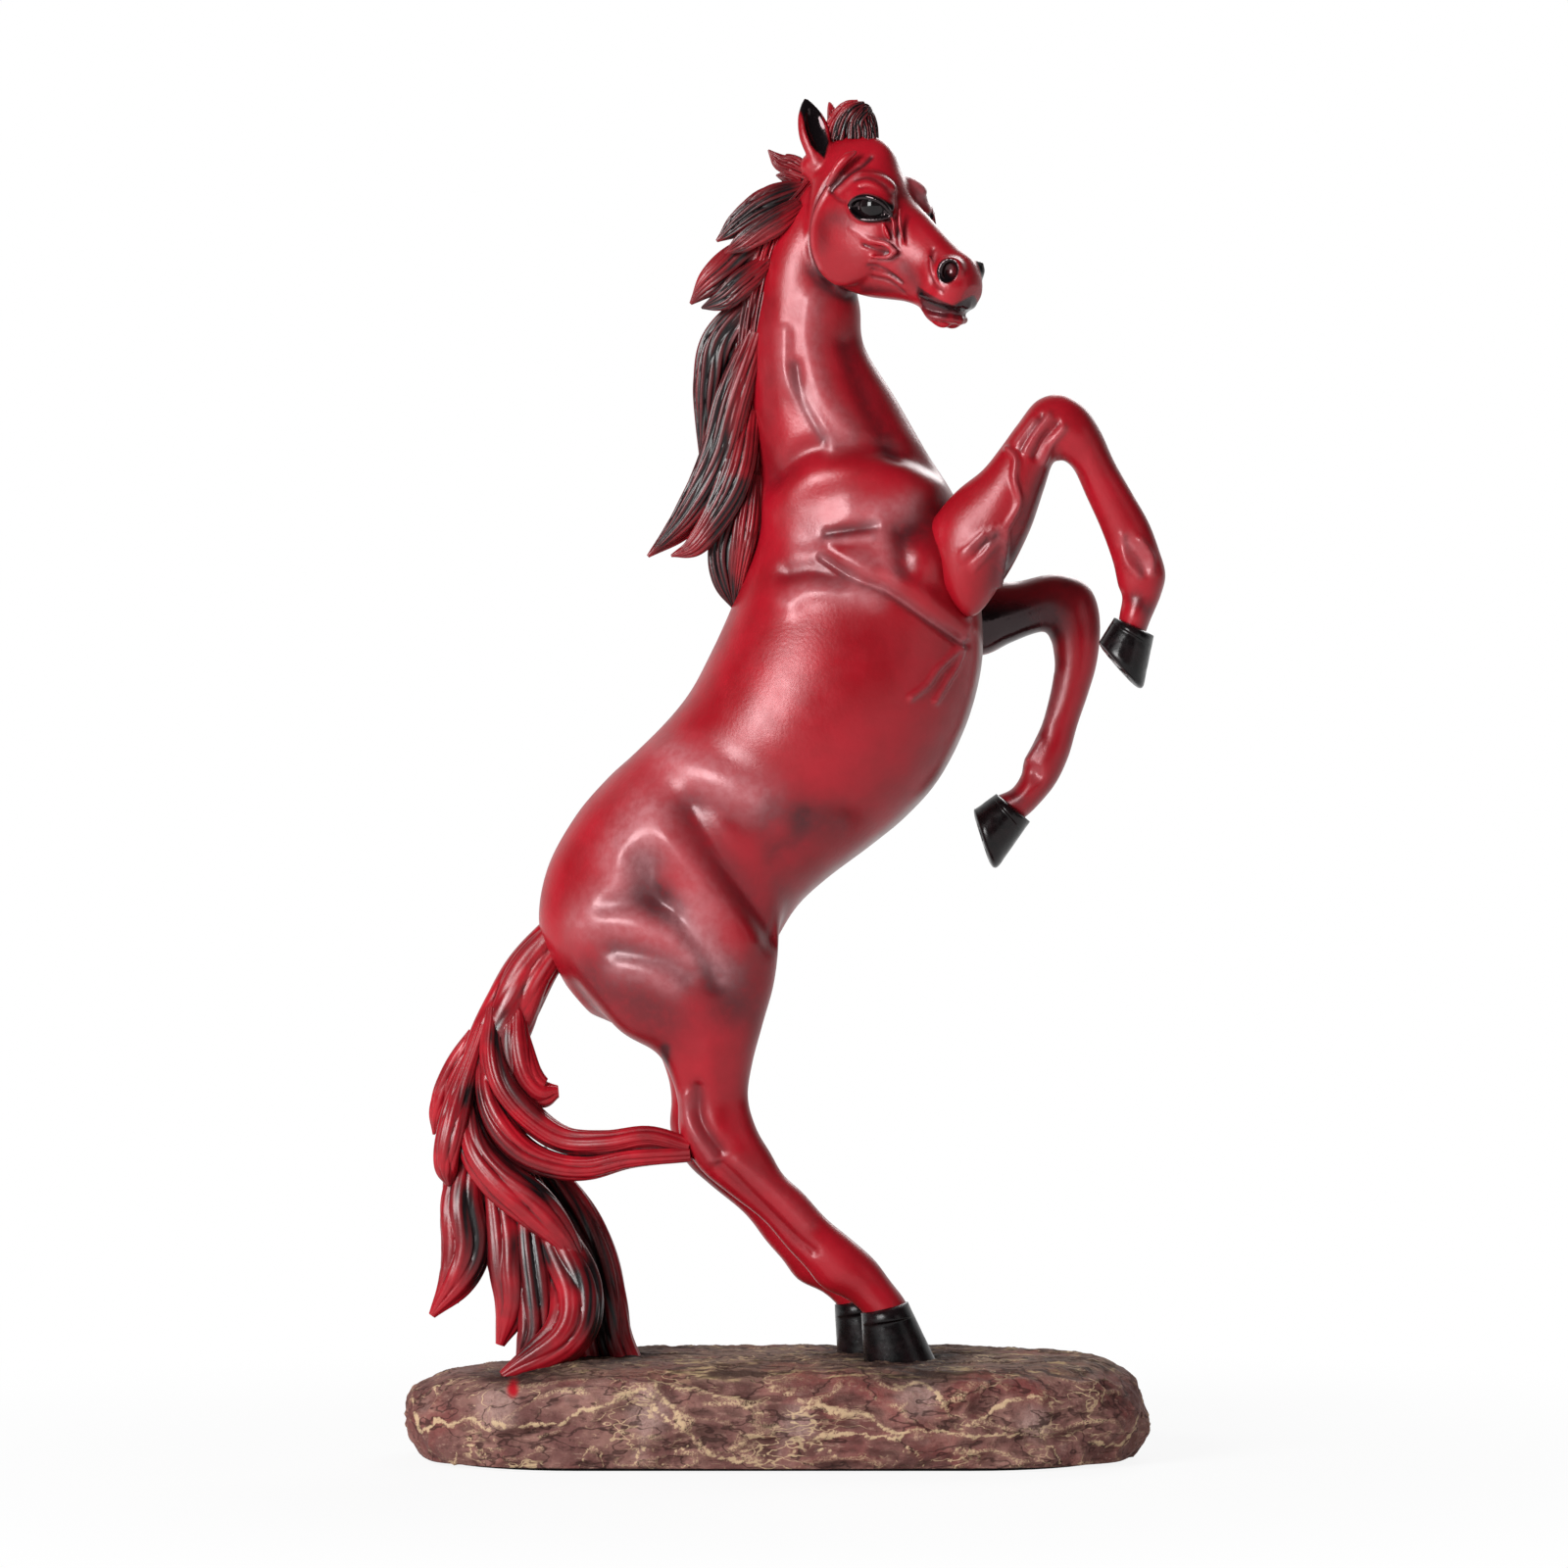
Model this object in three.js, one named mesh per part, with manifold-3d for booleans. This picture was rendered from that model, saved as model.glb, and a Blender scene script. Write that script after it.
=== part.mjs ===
// A rearing horse ornament in cast resin on a rock base, in millimetres.
// X runs the way the horse faces, Y to its left, Z up. The horse and rock are drawn with Z = 0 on
// the ground that the horse stands on, and the finished group is lifted to stand on its pad.
import * as THREE from 'three';
import { mergeVertices } from 'three/addons/utils/BufferGeometryUtils.js';
import Module from 'manifold-3d';

const wasm = await Module();
wasm.setup();

const { degToRad, smoothstep } = THREE.MathUtils;

// Sizes that hold for the whole ornament
const GLUE_LINE = 0.3;            // thickness of the glued joint between two castings
const BASE_HEIGHT = 22.5;         // rock, from its underside to the ground under the hooves
const BASE_HALF_LENGTH = 88;
const BASE_HALF_DEPTH = 40;
const SHELF_DROP = 3;             // how far the rock falls away behind the tail
const PAD_THICKNESS = 1;          // rubber sheet under the rock
const PAD_INSET = 5;              // from the rock's lower edge to the sheet's edge

// Sizes of the horse. The points of its outline are drawn for a height of 295, and scaled.
const HORSE_HEIGHT = 295;         // from the ground to the tips of the ears
const SCALE = HORSE_HEIGHT / 295;
const HIP_HALF_WIDTH = 23;
const BARREL_HALF_WIDTH = 26;
const CHEST_HALF_WIDTH = 22.5;
const NECK_HALF_WIDTH = 9.8;      // halfway up the neck
const NECK_BEND = 4;              // how far the poll is carried over to the right
const THIGH_HALF_WIDTH = 11.5;
const HIND_CANNON_HALF_WIDTH = 4.6;
const FOREARM_HALF_WIDTH = 7;
const FORE_CANNON_HALF_WIDTH = 4.4;
const HOOF_HALF_WIDTH = 7.4;      // at the sole
const CHEEK_HALF_WIDTH = 10.4;
const MUZZLE_HALF_WIDTH = 6;
const HALF_STANCE = 12.5;         // from the middle to each hind leg
const HIND_LAG = 6;               // how far the left hind hoof stands behind the right one
const HALF_SHOULDERS = 0.62 * CHEST_HALF_WIDTH;  // from the middle to each foreleg's root
const HEAD_YAW = 36;              // degrees, towards the horse's right
const HEAD_PITCH = 26.5;          // degrees, nose down
const EYE_RADIUS = 4;
const EAR_LENGTH = 17;
const EAR_HALF_WIDTH = 3.8;
const EAR_LEAN = 42;              // degrees, backwards from square to the face
const MOUTH_GAP = 0.8;            // between the parted lips

// Sizes of the steel inside
const ROD_RADIUS = 1.1;           // up each hind leg, and up the tail's foot
const ROD_DEPTH = 12;             // how far each upright rod goes into the rock
const ROD_RISE = 12.5;            // how far it stands above the ground
const DOWEL_RADIUS = 1.5;         // between the main casting and each glued-on one
const DOWEL_LENGTH = 14;
const BORE_CLEARANCE = 0.3;       // around every rod and dowel

const PAINT = {
  red: { color: '#a3182a', roughness: 0.38, metalness: 0 },
  hair: { color: '#7c1523', roughness: 0.42, metalness: 0 },
  hoof: { color: '#17130f', roughness: 0.25, metalness: 0 },
  eye: { color: '#050505', roughness: 0.06, metalness: 0 },
  rock: { color: '#7a5a53', roughness: 0.72, metalness: 0 },
  pad: { color: '#1c1c1c', roughness: 0.85, metalness: 0 },
  steel: { color: '#8d9094', roughness: 0.35, metalness: 1 },
};

// The neck's middle line leans over to the right on its way up to the poll
const bend = (z) => -NECK_BEND * smoothstep(z, 200, 285);
const POLL = new THREE.Vector3(11 * SCALE, bend(279), 279 * SCALE);

// A rib is one cross-section of a limb. It runs from a point on the back line to one on the front
// line, each drawn as [x, z], and reaches `wide` to either side of the plane at `y`. With `egg` it
// is that share wider towards the front and narrower towards the back.
const rib = (back, front, wide, y = 0, egg = 0) => ({
  back: new THREE.Vector3(back[0] * SCALE, y, back[1] * SCALE),
  front: new THREE.Vector3(front[0] * SCALE, y, front[1] * SCALE),
  wide,
  egg,
});

// The closed skin over a row of ribs, made in `perSpan` rings from each rib to the next.
// `grow` sets the skin out by that much, for the seat of a neighbouring casting.
// `flute` draws every other corner in by that share, as the grooves of combed hair.
function loft(ribs, { perSpan = 2, sides = 10, grow = 0, flute = 0 } = {}) {
  const along = (pick) => new THREE.CatmullRomCurve3(ribs.map(pick), false, 'catmullrom', 0.5);
  const back = along((r) => r.back);
  const front = along((r) => r.front);
  const middle = along((r) => r.back.clone().add(r.front).multiplyScalar(0.5));
  const section = along((r) => new THREE.Vector3(r.wide, r.egg ?? 0, 0));
  const rings = (ribs.length - 1) * perSpan;
  const points = [];
  for (let i = 0; i <= rings; i++) {
    const t = i / rings;
    const centre = middle.getPoint(t);
    const across = front.getPoint(t).sub(back.getPoint(t)).multiplyScalar(0.5);
    const side = middle.getTangent(t).cross(across).normalize();
    const deep = across.length() + grow;
    const { x: wide, y: egg } = section.getPoint(t);
    across.normalize();
    for (let j = 0; j < sides; j++) {
      const angle = (j / sides) * 2 * Math.PI;
      const reach = 1 - flute * (j % 2);
      const half = wide * (1 + egg * Math.cos(angle)) + grow;
      points.push(centre.clone()
        .addScaledVector(across, deep * reach * Math.cos(angle))
        .addScaledVector(side, half * reach * Math.sin(angle)));
    }
  }
  const first = middle.getPoint(0).addScaledVector(middle.getTangent(0), -grow);
  const last = middle.getPoint(1).addScaledVector(middle.getTangent(1), grow);
  return skin(points, rings, sides, first, last);
}

// Joins rows of points into one closed surface, with a fan of triangles at either end.
function skin(points, rings, sides, first, last) {
  const index = [];
  const at = (i, j) => i * sides + (j % sides);
  for (let i = 0; i < rings; i++) {
    for (let j = 0; j < sides; j++) {
      index.push(at(i, j), at(i, j + 1), at(i + 1, j + 1));
      index.push(at(i, j), at(i + 1, j + 1), at(i + 1, j));
    }
  }
  const start = points.push(first) - 1;
  const end = points.push(last) - 1;
  for (let j = 0; j < sides; j++) {
    index.push(start, at(0, j + 1), at(0, j));
    index.push(end, at(rings, j), at(rings, j + 1));
  }
  return new THREE.BufferGeometry().setFromPoints(points).setIndex(index);
}

// A stroke of modelling: near the line through its points the skin moves out `by` that much, or in
// where `by` is negative. Strokes on the flanks are drawn as [x, z] and shape both sides alike.
const lines = (points) => points.slice(1).map((end, i) => new THREE.Line3(points[i], end));
const stroke = (points, reach, by, scale = SCALE) => ({
  lines: lines(points.map(([x, z]) => new THREE.Vector3(x, 0, z).multiplyScalar(scale))),
  reach: reach * scale,
  by: by * scale,
  flank: true,
});

function model(geometry, strokes) {
  geometry.computeVertexNormals();
  const place = geometry.attributes.position;
  const normal = geometry.attributes.normal;
  const p = new THREE.Vector3();
  const n = new THREE.Vector3();
  const near = new THREE.Vector3();
  for (let i = 0; i < place.count; i++) {
    n.fromBufferAttribute(normal, i);
    let out = 0;
    for (const one of strokes) {
      p.fromBufferAttribute(place, i);
      if (one.flank) p.y = 0;
      const facing = one.flank ? smoothstep(Math.abs(n.y), 0, 0.5) : 1;
      const gap = Math.min(...one.lines.map((line) => (
        line.closestPointToPoint(p, true, near).distanceTo(p))));
      out += one.by * facing * Math.exp(-((gap / one.reach) ** 2));
    }
    p.fromBufferAttribute(place, i).addScaledVector(n, out);
    place.setXYZ(i, p.x, p.y, p.z);
  }
  return geometry;
}

// Solids, for joining and cutting
function solid(geometry) {
  const bare = geometry.index ? geometry.toNonIndexed() : geometry.clone();
  bare.deleteAttribute('normal');
  bare.deleteAttribute('uv');
  const merged = mergeVertices(bare, 1e-4);
  return new wasm.Manifold(new wasm.Mesh({
    numProp: 3,
    vertProperties: new Float32Array(merged.attributes.position.array),
    triVerts: new Uint32Array(merged.index.array),
  }));
}
const union = (solids) => solids.reduce((sum, one) => sum.add(one));

// The largest piece of a solid, without the chips and shut-in hollows that joins and cuts leave.
function mainPiece(whole) {
  return whole.decompose().reduce((most, one) => (one.volume() > most.volume() ? one : most));
}

function meshOf(name, made, paint) {
  const { vertProperties, triVerts, numProp } = mainPiece(made).getMesh();
  const corners = new THREE.InterleavedBuffer(new Float32Array(vertProperties), numProp);
  const geometry = new THREE.BufferGeometry();
  geometry.setAttribute('position', new THREE.InterleavedBufferAttribute(corners, 3, 0));
  geometry.setIndex(new THREE.BufferAttribute(new Uint32Array(triVerts), 1));
  const faceted = geometry.toNonIndexed();
  faceted.computeVertexNormals();
  const mesh = new THREE.Mesh(faceted, new THREE.MeshStandardMaterial(PAINT[paint]));
  mesh.name = name;
  return mesh;
}

// Main muscles and hollows of the trunk, neck and thighs
const MUSCLES = [
  stroke([[34.8, 187], [35.4, 186.4]], 6, 2.4),                             // point of the shoulder
  stroke([[0.5, 199], [10, 205.5], [26, 206.5], [36, 203]], 5.4, 1.3),      // shoulder blade
  stroke([[13, 191], [28.5, 183.5], [44.5, 172.5]], 5, 0.9),                // fold to the elbow
  stroke([[3, 176.5], [15, 179.5], [24, 177.5]], 4.4, 0.8),                 // behind the elbow
  stroke([[-28.8, 128.4], [-31.8, 123.2], [-34.3, 117.5]], 6, 1.5),         // point of the hip
  stroke([[-29.5, 115.9], [-29.3, 111.8], [-26.5, 107.6]], 5.4, -2.2),      // hollow of the buttock
  stroke([[-43.1, 102.6], [-34.3, 102.4], [-26.1, 100], [-18.6, 95.2]], 5, 1.5), // thigh muscle
  stroke([[-20, 129.1], [-13.2, 118.9], [-5, 107.3], [-0.2, 99.1]], 4.4, -2), // front of the thigh
  stroke([[-23.5, 121], [-13.2, 108], [-6.3, 98.5]], 5, 1.2),
  stroke([[-18.6, 138.6], [-11.3, 135.7], [-3, 131.8]], 4.6, 1.6),          // muscle of the loin
  stroke([[-17.6, 130], [-10.4, 127.2], [-2.2, 124.5]], 4.2, -1.2),         // hollow of the flank
  stroke([[8.7, 247.1], [8, 238], [11, 225.7], [17.1, 216.5]], 4.4, 1),     // muscle of the neck
];

// Trunk and neck, from the buttocks to the poll
function trunk(grow) {
  const hip = HIP_HALF_WIDTH;
  const barrel = BARREL_HALF_WIDTH;
  const chest = CHEST_HALF_WIDTH;
  const neck = NECK_HALF_WIDTH;
  const ribs = [
    rib([-49, 87.5], [-43, 80.5], 0.2 * hip),
    rib([-55, 100], [-24, 74.5], 0.6 * hip),
    rib([-53.5, 114], [-6, 86], 0.85 * hip),
    rib([-47, 126.5], [0.5, 98], 0.97 * hip),
    rib([-39.5, 135.5], [5.5, 106], hip),
    rib([-32.5, 142], [12.5, 112.5], 0.98 * hip),
    rib([-25, 149.5], [22.5, 120], 0.9 * barrel),
    rib([-19.5, 156.5], [31, 127], 0.98 * barrel),
    rib([-15, 165], [38.5, 135.5], barrel),
    rib([-11.5, 172.5], [44.5, 147], 0.98 * barrel),
    rib([-8, 181], [48, 158.5], 1.06 * chest),
    rib([-4.5, 191], [49, 169], chest, 0, 0.08),
    rib([-3, 200], [47.5, 184], 0.9 * chest, 0, 0.12),
    rib([-3.5, 208], [43.5, 199.5], 0.78 * chest, bend(204), 0.12),
    rib([-5, 217.5], [36, 212], 1.5 * neck, bend(215), 0.1),
    rib([-6, 227.5], [28.5, 225], 1.22 * neck, bend(226)),
    rib([-5.5, 238], [21.2, 237], 1.05 * neck, bend(237)),
    rib([-4, 248.5], [20.2, 246], neck, bend(247)),
    rib([-1.5, 259], [19, 252.5], 0.92 * neck, bend(256)),
    rib([3, 268], [20, 259], 0.85 * neck, bend(264)),
    rib([8, 275.5], [22, 266], 0.66 * neck, bend(271)),
  ];
  return solid(model(loft(ribs, { sides: 22, grow }), MUSCLES));
}

// One hind leg, from inside the hip to inside the hoof. The hand is -1 for right and 1 for left.
const lag = (hand, z) => (hand > 0 ? (HIND_LAG / SCALE) * (1 - smoothstep(z, 0, 95)) : 0);

function hindLeg(hand, grow) {
  const thigh = THIGH_HALF_WIDTH;
  const cannon = HIND_CANNON_HALF_WIDTH;
  const ribs = [
    [[-30, 134], [-16, 133], 0.35 * thigh, -4],
    [[-38, 122], [-6, 120], 0.75 * thigh, -2.6],
    [[-46, 106], [0, 107], 0.95 * thigh, -0.8],
    [[-45.5, 91.5], [1, 97.5], thigh, 0],
    [[-37, 78], [0, 88], 0.9 * thigh, 0.5],
    [[-27.5, 72], [-2.5, 79], 0.74 * thigh, 0.5],
    [[-24, 66], [-5, 69.5], 0.6 * thigh, 0],
    [[-22.5, 60], [-6, 61.5], 1.15 * cannon, 0],
    [[-22, 52.5], [-4, 54.2], 1.25 * cannon, 0],
    [[-17.5, 45], [-0.7, 48.6], 1.18 * cannon, 0],
    [[-11.1, 39.5], [2.2, 43.6], 1.05 * cannon, 0],
    [[-2.7, 33], [6.7, 39.5], 0.95 * cannon, 0],
    [[2.9, 26.5], [12.1, 33.5], cannon, 0],
    [[7.1, 22.1], [17.5, 29], 1.1 * cannon, 0],
    [[11.1, 17.3], [23.2, 24], 1.17 * cannon, 0],
    [[17, 14.5], [27, 19], 1.07 * cannon, 0],
    [[21, 11], [31, 13.5], 1.13 * cannon, 0],
    [[22.5, 7.5], [31.5, 9], cannon, 0],
  ].map(([back, front, wide, splay]) => rib(
    [back[0] - lag(hand, back[1]), back[1]],
    [front[0] - lag(hand, front[1]), front[1]],
    wide,
    hand * (HALF_STANCE + splay * SCALE),
  ));
  return solid(model(loft(ribs, { sides: 10, grow }), MUSCLES));
}

// The head is drawn in a frame of its own: u along the face, v up from it, w to its left
function onHead(geometry) {
  geometry.rotateX(Math.PI / 2);
  geometry.rotateY(degToRad(HEAD_PITCH));
  geometry.rotateZ(degToRad(-HEAD_YAW));
  return geometry.translate(POLL.x, POLL.y, POLL.z);
}
const atHead = (u, v, w) => new THREE.Vector3(u, v, -w).multiplyScalar(SCALE);
const headRib = (jaw, brow, wide, egg = 0) => ({
  back: atHead(...jaw, 0),
  front: atHead(...brow, 0),
  wide,
  egg,
});

function head(grow) {
  const cheek = CHEEK_HALF_WIDTH;
  const muzzle = MUZZLE_HALF_WIDTH;
  const ribs = [
    headRib([6, -12], [1, 5], 0.6 * cheek),
    headRib([9, -17], [3.5, 9.5], 0.82 * cheek, -0.2),
    headRib([14.5, -21.4], [9, 12.2], 0.98 * cheek, -0.32),
    headRib([20, -22.4], [15.5, 12.6], cheek, -0.34),
    headRib([26, -21.4], [21.2, 9.4], 0.94 * cheek, -0.2),
    headRib([31.5, -19.6], [26.8, 4.4], 0.78 * cheek),
    headRib([36.5, -18], [32.5, 1.9], 1.08 * muzzle),
    headRib([41, -17.6], [38, 0.2], 0.95 * muzzle),
    headRib([45, -19.3], [43.4, -1.2], muzzle),
    headRib([48.8, -18.8], [48.2, -1.9], 0.94 * muzzle),
    headRib([51.6, -15.2], [51.6, -5.2], 0.62 * muzzle),
  ];
  const beside = (points, reach, by) => [-1, 1].map((hand) => ({
    lines: lines(points.map(([u, v, w]) => atHead(u, v, hand * w))),
    reach: reach * SCALE,
    by: by * SCALE,
  }));
  return solid(onHead(model(loft(ribs, { sides: 14, grow }), [
    ...beside([[14, -11, 10], [20, -13, 10]], 5.2, 1.2),      // cheek
    ...beside([[19, 4, 9], [26, 3, 8.5]], 4.2, 1.9),          // brow over the eye
    ...beside([[31, -4, 8], [38, -7, 6]], 3, -0.8),           // hollow beside the bridge
    ...beside([[46, -3.5, 6], [48, -4.5, 6]], 2.6, 1),        // rim of the nostril
  ])));
}

// One ear: a pointed leaf with a hollow scooped out of its open side
function ear(hand, grow) {
  const outline = [0.6, 1, 0.8, 0.06];
  const leaf = (length, wide, deep) => loft(outline.map((share, i) => {
    const up = (i / (outline.length - 1)) * length;
    return {
      back: new THREE.Vector3(-deep * share, up, 0),
      front: new THREE.Vector3(deep * share, up, 0),
      wide: wide * share,
    };
  }), { sides: 8, grow });
  const place = (geometry) => onHead(geometry
    .rotateY(hand * 0.6)
    .rotateZ(degToRad(EAR_LEAN))
    .translate(4.2 * SCALE, 1.5 * SCALE, -hand * 5.2 * SCALE));
  const whole = solid(place(leaf(EAR_LENGTH, EAR_HALF_WIDTH, 0.72 * EAR_HALF_WIDTH)));
  if (grow) return whole;
  const scoop = leaf(0.72 * EAR_LENGTH, 0.66 * EAR_HALF_WIDTH, 0.5 * EAR_HALF_WIDTH)
    .translate(0.65 * EAR_HALF_WIDTH, 0.24 * EAR_LENGTH, 0);
  return whole.subtract(solid(place(scoop)));
}

function ball(radius, u, v, w) {
  const sphere = new THREE.SphereGeometry(radius, 12, 8);
  return solid(onHead(sphere.translate(u * SCALE, v * SCALE, -w * SCALE)));
}
const eyeball = (hand, grow = 0) => ball(EYE_RADIUS + grow, 23, 0.5, hand * 7.1);

// The parted lips, and the nostrils
function mouth() {
  const length = 16 * SCALE;
  const slit = new THREE.BoxGeometry(length, MOUTH_GAP, 3 * MUZZLE_HALF_WIDTH)
    .translate(length / 2, 0, 0)
    .rotateZ(degToRad(16))
    .translate(43 * SCALE, -14.8 * SCALE, 0);
  return solid(onHead(slit));
}
const nostril = (hand) => ball(0.33 * MUZZLE_HALF_WIDTH, 48, -4.2, hand * 6.5);

// The main casting: trunk, neck, head, ears and both hind legs in one
function horse(grow) {
  const root = (hand) => ball(EAR_HALF_WIDTH + grow, 1.4, 0.4, hand * 4.6);
  const whole = union([
    trunk(grow), head(grow), root(-1), root(1), ear(-1, grow), ear(1, grow),
    hindLeg(-1, grow), hindLeg(1, grow),
  ]);
  if (grow) return whole;
  const cuts = [eyeball(-1, GLUE_LINE), eyeball(1, GLUE_LINE), mouth(), nostril(-1), nostril(1)];
  return cuts.reduce((left, cut) => left.subtract(cut), whole);
}

// The forelegs, each from a root inside the shoulder to inside its hoof. The last number of a row
// is how far outside the root's plane the leg runs there.
function foreleg(hand, rows, grow = 0) {
  const ribs = rows.map(([back, front, wide, out]) => (
    rib(back, front, wide, hand * (HALF_SHOULDERS + out * SCALE))));
  return solid(loft(ribs, { grow }));
}
const arm = FOREARM_HALF_WIDTH;
const shin = FORE_CANNON_HALF_WIDTH;
const RIGHT_FORELEG = [
  [[39, 183], [38, 197], 0.75 * arm, -3],
  [[45.5, 173.5], [43, 203], 1.1 * arm, 0],
  [[53, 181.5], [48.5, 207.5], 1.08 * arm, 2],
  [[59, 192.5], [52.5, 212.5], arm, 3],
  [[62.5, 202.5], [56.5, 218], 0.9 * arm, 3.5],
  [[64.5, 208.5], [61, 223.5], 0.86 * arm, 3.5],
  [[66.2, 209.6], [66.5, 225], 0.86 * arm, 3.5],
  [[68, 209.2], [71.5, 222.5], 0.82 * arm, 3.5],
  [[70, 207], [75.5, 217], 0.74 * arm, 3],
  [[72.5, 201.5], [79, 209.5], 1.05 * shin, 2.5],
  [[75.5, 195], [83, 202.5], 0.97 * shin, 2],
  [[77.5, 190], [87, 195.5], shin, 1.5],
  [[79, 185.5], [89.5, 189], 1.12 * shin, 1],
  [[80, 181], [91, 183.5], 1.14 * shin, 0.5],
  [[81, 178], [90, 178.5], 1.05 * shin, 0],
  [[80.5, 174.5], [87.5, 172.5], 1.1 * shin, 0],
  [[80, 171.5], [86, 168.5], 0.9 * shin, 0],
];
const LEFT_FORELEG = [
  [[40, 166], [40, 179], 0.75 * arm, -3],
  [[49, 165], [50.5, 182], 1.05 * arm, 0],
  [[56, 168], [57.5, 182.5], 0.97 * arm, 1],
  [[61, 170], [64, 184], 0.9 * arm, 1.5],
  [[64, 170.5], [68.5, 184], 0.86 * arm, 1.5],
  [[65.5, 168.6], [73.4, 182.2], 0.86 * arm, 1.5],
  [[66.2, 165.6], [76.2, 178.2], 0.82 * arm, 1.5],
  [[66.4, 162], [77.2, 171.6], 0.74 * arm, 1.2],
  [[65.6, 156.6], [76.4, 163.4], 1.08 * shin, 1],
  [[63.8, 149.8], [74.4, 156.2], shin, 0.8],
  [[61.3, 144.2], [71.8, 148.6], shin, 0.5],
  [[59.2, 140.2], [69.6, 141], 1.12 * shin, 0.2],
  [[58.4, 136.6], [66.4, 134.4], 1.07 * shin, 0],
  [[56.2, 133.4], [61.8, 128.9], 1.1 * shin, 0],
  [[52.6, 131.7], [58.2, 125.7], 0.9 * shin, 0],
];

// A hoof from the heel and toe at its hairline to the heel and toe of its sole, each as [x, z].
// Its wall flares below a proud band at the hairline.
function hoof([heelTop, toeTop, heelFoot, toeFoot], y) {
  const between = (a, b, t) => [a[0] + (b[0] - a[0]) * t, a[1] + (b[1] - a[1]) * t];
  const wall = [[-0.04, 0.72], [0.03, 0.85], [0.14, 0.88], [0.2, 0.81], [0.6, 0.92], [1, 1]];
  const ribs = wall.map(([t, share]) => (
    rib(between(heelTop, heelFoot, t), between(toeTop, toeFoot, t), share * HOOF_HALF_WIDTH, y)));
  return solid(loft(ribs, { perSpan: 1, sides: 12 }));
}
const RIGHT_HIND_HOOF = [[20.3, 10.6], [31.6, 13], [21, -2.5], [39, -2.5]];
const LEFT_HIND_HOOF = RIGHT_HIND_HOOF.map(([x, z]) => [x - HIND_LAG / SCALE, z]);
const RIGHT_FORE_HOOF = [[79.3, 175.5], [88, 172.3], [74.7, 169.4], [86.2, 157.4]];
const LEFT_FORE_HOOF = [[56, 134.6], [62.1, 127.7], [47.8, 130], [52, 114.8]];

// A lock of hair down a row of [x, z, y] points, fullest a third of the way along
const TAPER = [0.65, 1, 0.78, 0.1];
const STRIP = [0.5, 1, 1, 0.5];

function lock(points, wide, thick = 0.6 * wide, shares = TAPER) {
  const curve = new THREE.CatmullRomCurve3(points.map(([x, z, y]) => (
    new THREE.Vector3(x, y, z).multiplyScalar(SCALE))));
  const ribs = shares.map((share, i) => {
    const t = i / (shares.length - 1);
    const centre = curve.getPoint(t);
    const across = curve.getTangent(t).cross(new THREE.Vector3(0, 1, 0)).normalize()
      .multiplyScalar(wide * share * SCALE);
    return {
      back: centre.clone().sub(across),
      front: centre.clone().add(across),
      wide: thick * share * SCALE,
    };
  });
  return solid(loft(ribs, { sides: 6, flute: 0.14 }));
}

// Mane: a strip along the crest, and the locks that blow back from it
const onNeck = (points) => points.map(([x, z, y]) => [x, z, y + bend(z) / SCALE]);
function mane() {
  const locks = [
    [[[10, 278, 0], [5, 279, 1], [1, 281, 1], [-1.6, 283.1, 1]], 3],
    [[[7, 274, 0], [-2, 271, 0], [-9, 266, 0], [-13.6, 262.2, 0]], 4.2],
    [[[7, 270, -5], [0, 265, -6], [-6, 260, -5], [-10.4, 256, -4]], 3.6],
    [[[2, 264, 0], [-7.4, 259, 0], [-15.4, 252.5, -1], [-19.8, 248.5, -1]], 5],
    [[[-2, 251, 0], [-10.5, 243, 0], [-14.5, 230, 0], [-16.5, 214, 0]], 5],
    [[[-3, 243, -3], [-9, 233, -5], [-13, 222, -5], [-16, 208, -4]], 4.8],
    [[[-5, 232, 0], [-11, 215, 0], [-18, 201, -1], [-29.7, 188.1, -2]], 6],
    [[[-6, 222, -3], [-10, 208, -5], [-15, 197, -6], [-23.5, 187.5, -6]], 4.6],
    [[[-5.5, 212, -1], [-8.4, 200, -2], [-10.6, 188.5, -2], [-8, 175.5, -1]], 5.4],
    [[[5, 270, 5], [-2, 262, 8], [-7, 253, 9], [-10, 245, 9]], 4.6],
    [[[-2, 254, 5], [-7, 242, 8], [-10, 230, 9], [-13, 219, 9]], 5],
    [[[-4, 236, 5], [-8, 222, 8], [-11, 208, 10], [-16, 195, 11]], 5.2],
  ].map(([points, wide]) => lock(onNeck(points), wide));
  const crest = [[9, 276, 0], [1, 265, 0], [-3, 253, 0], [-6, 235, 0], [-5.5, 212, 0], [-8, 192, 0]];
  return union([lock(onNeck(crest), 3.4, 4.4, STRIP), ...locks]);
}

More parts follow.
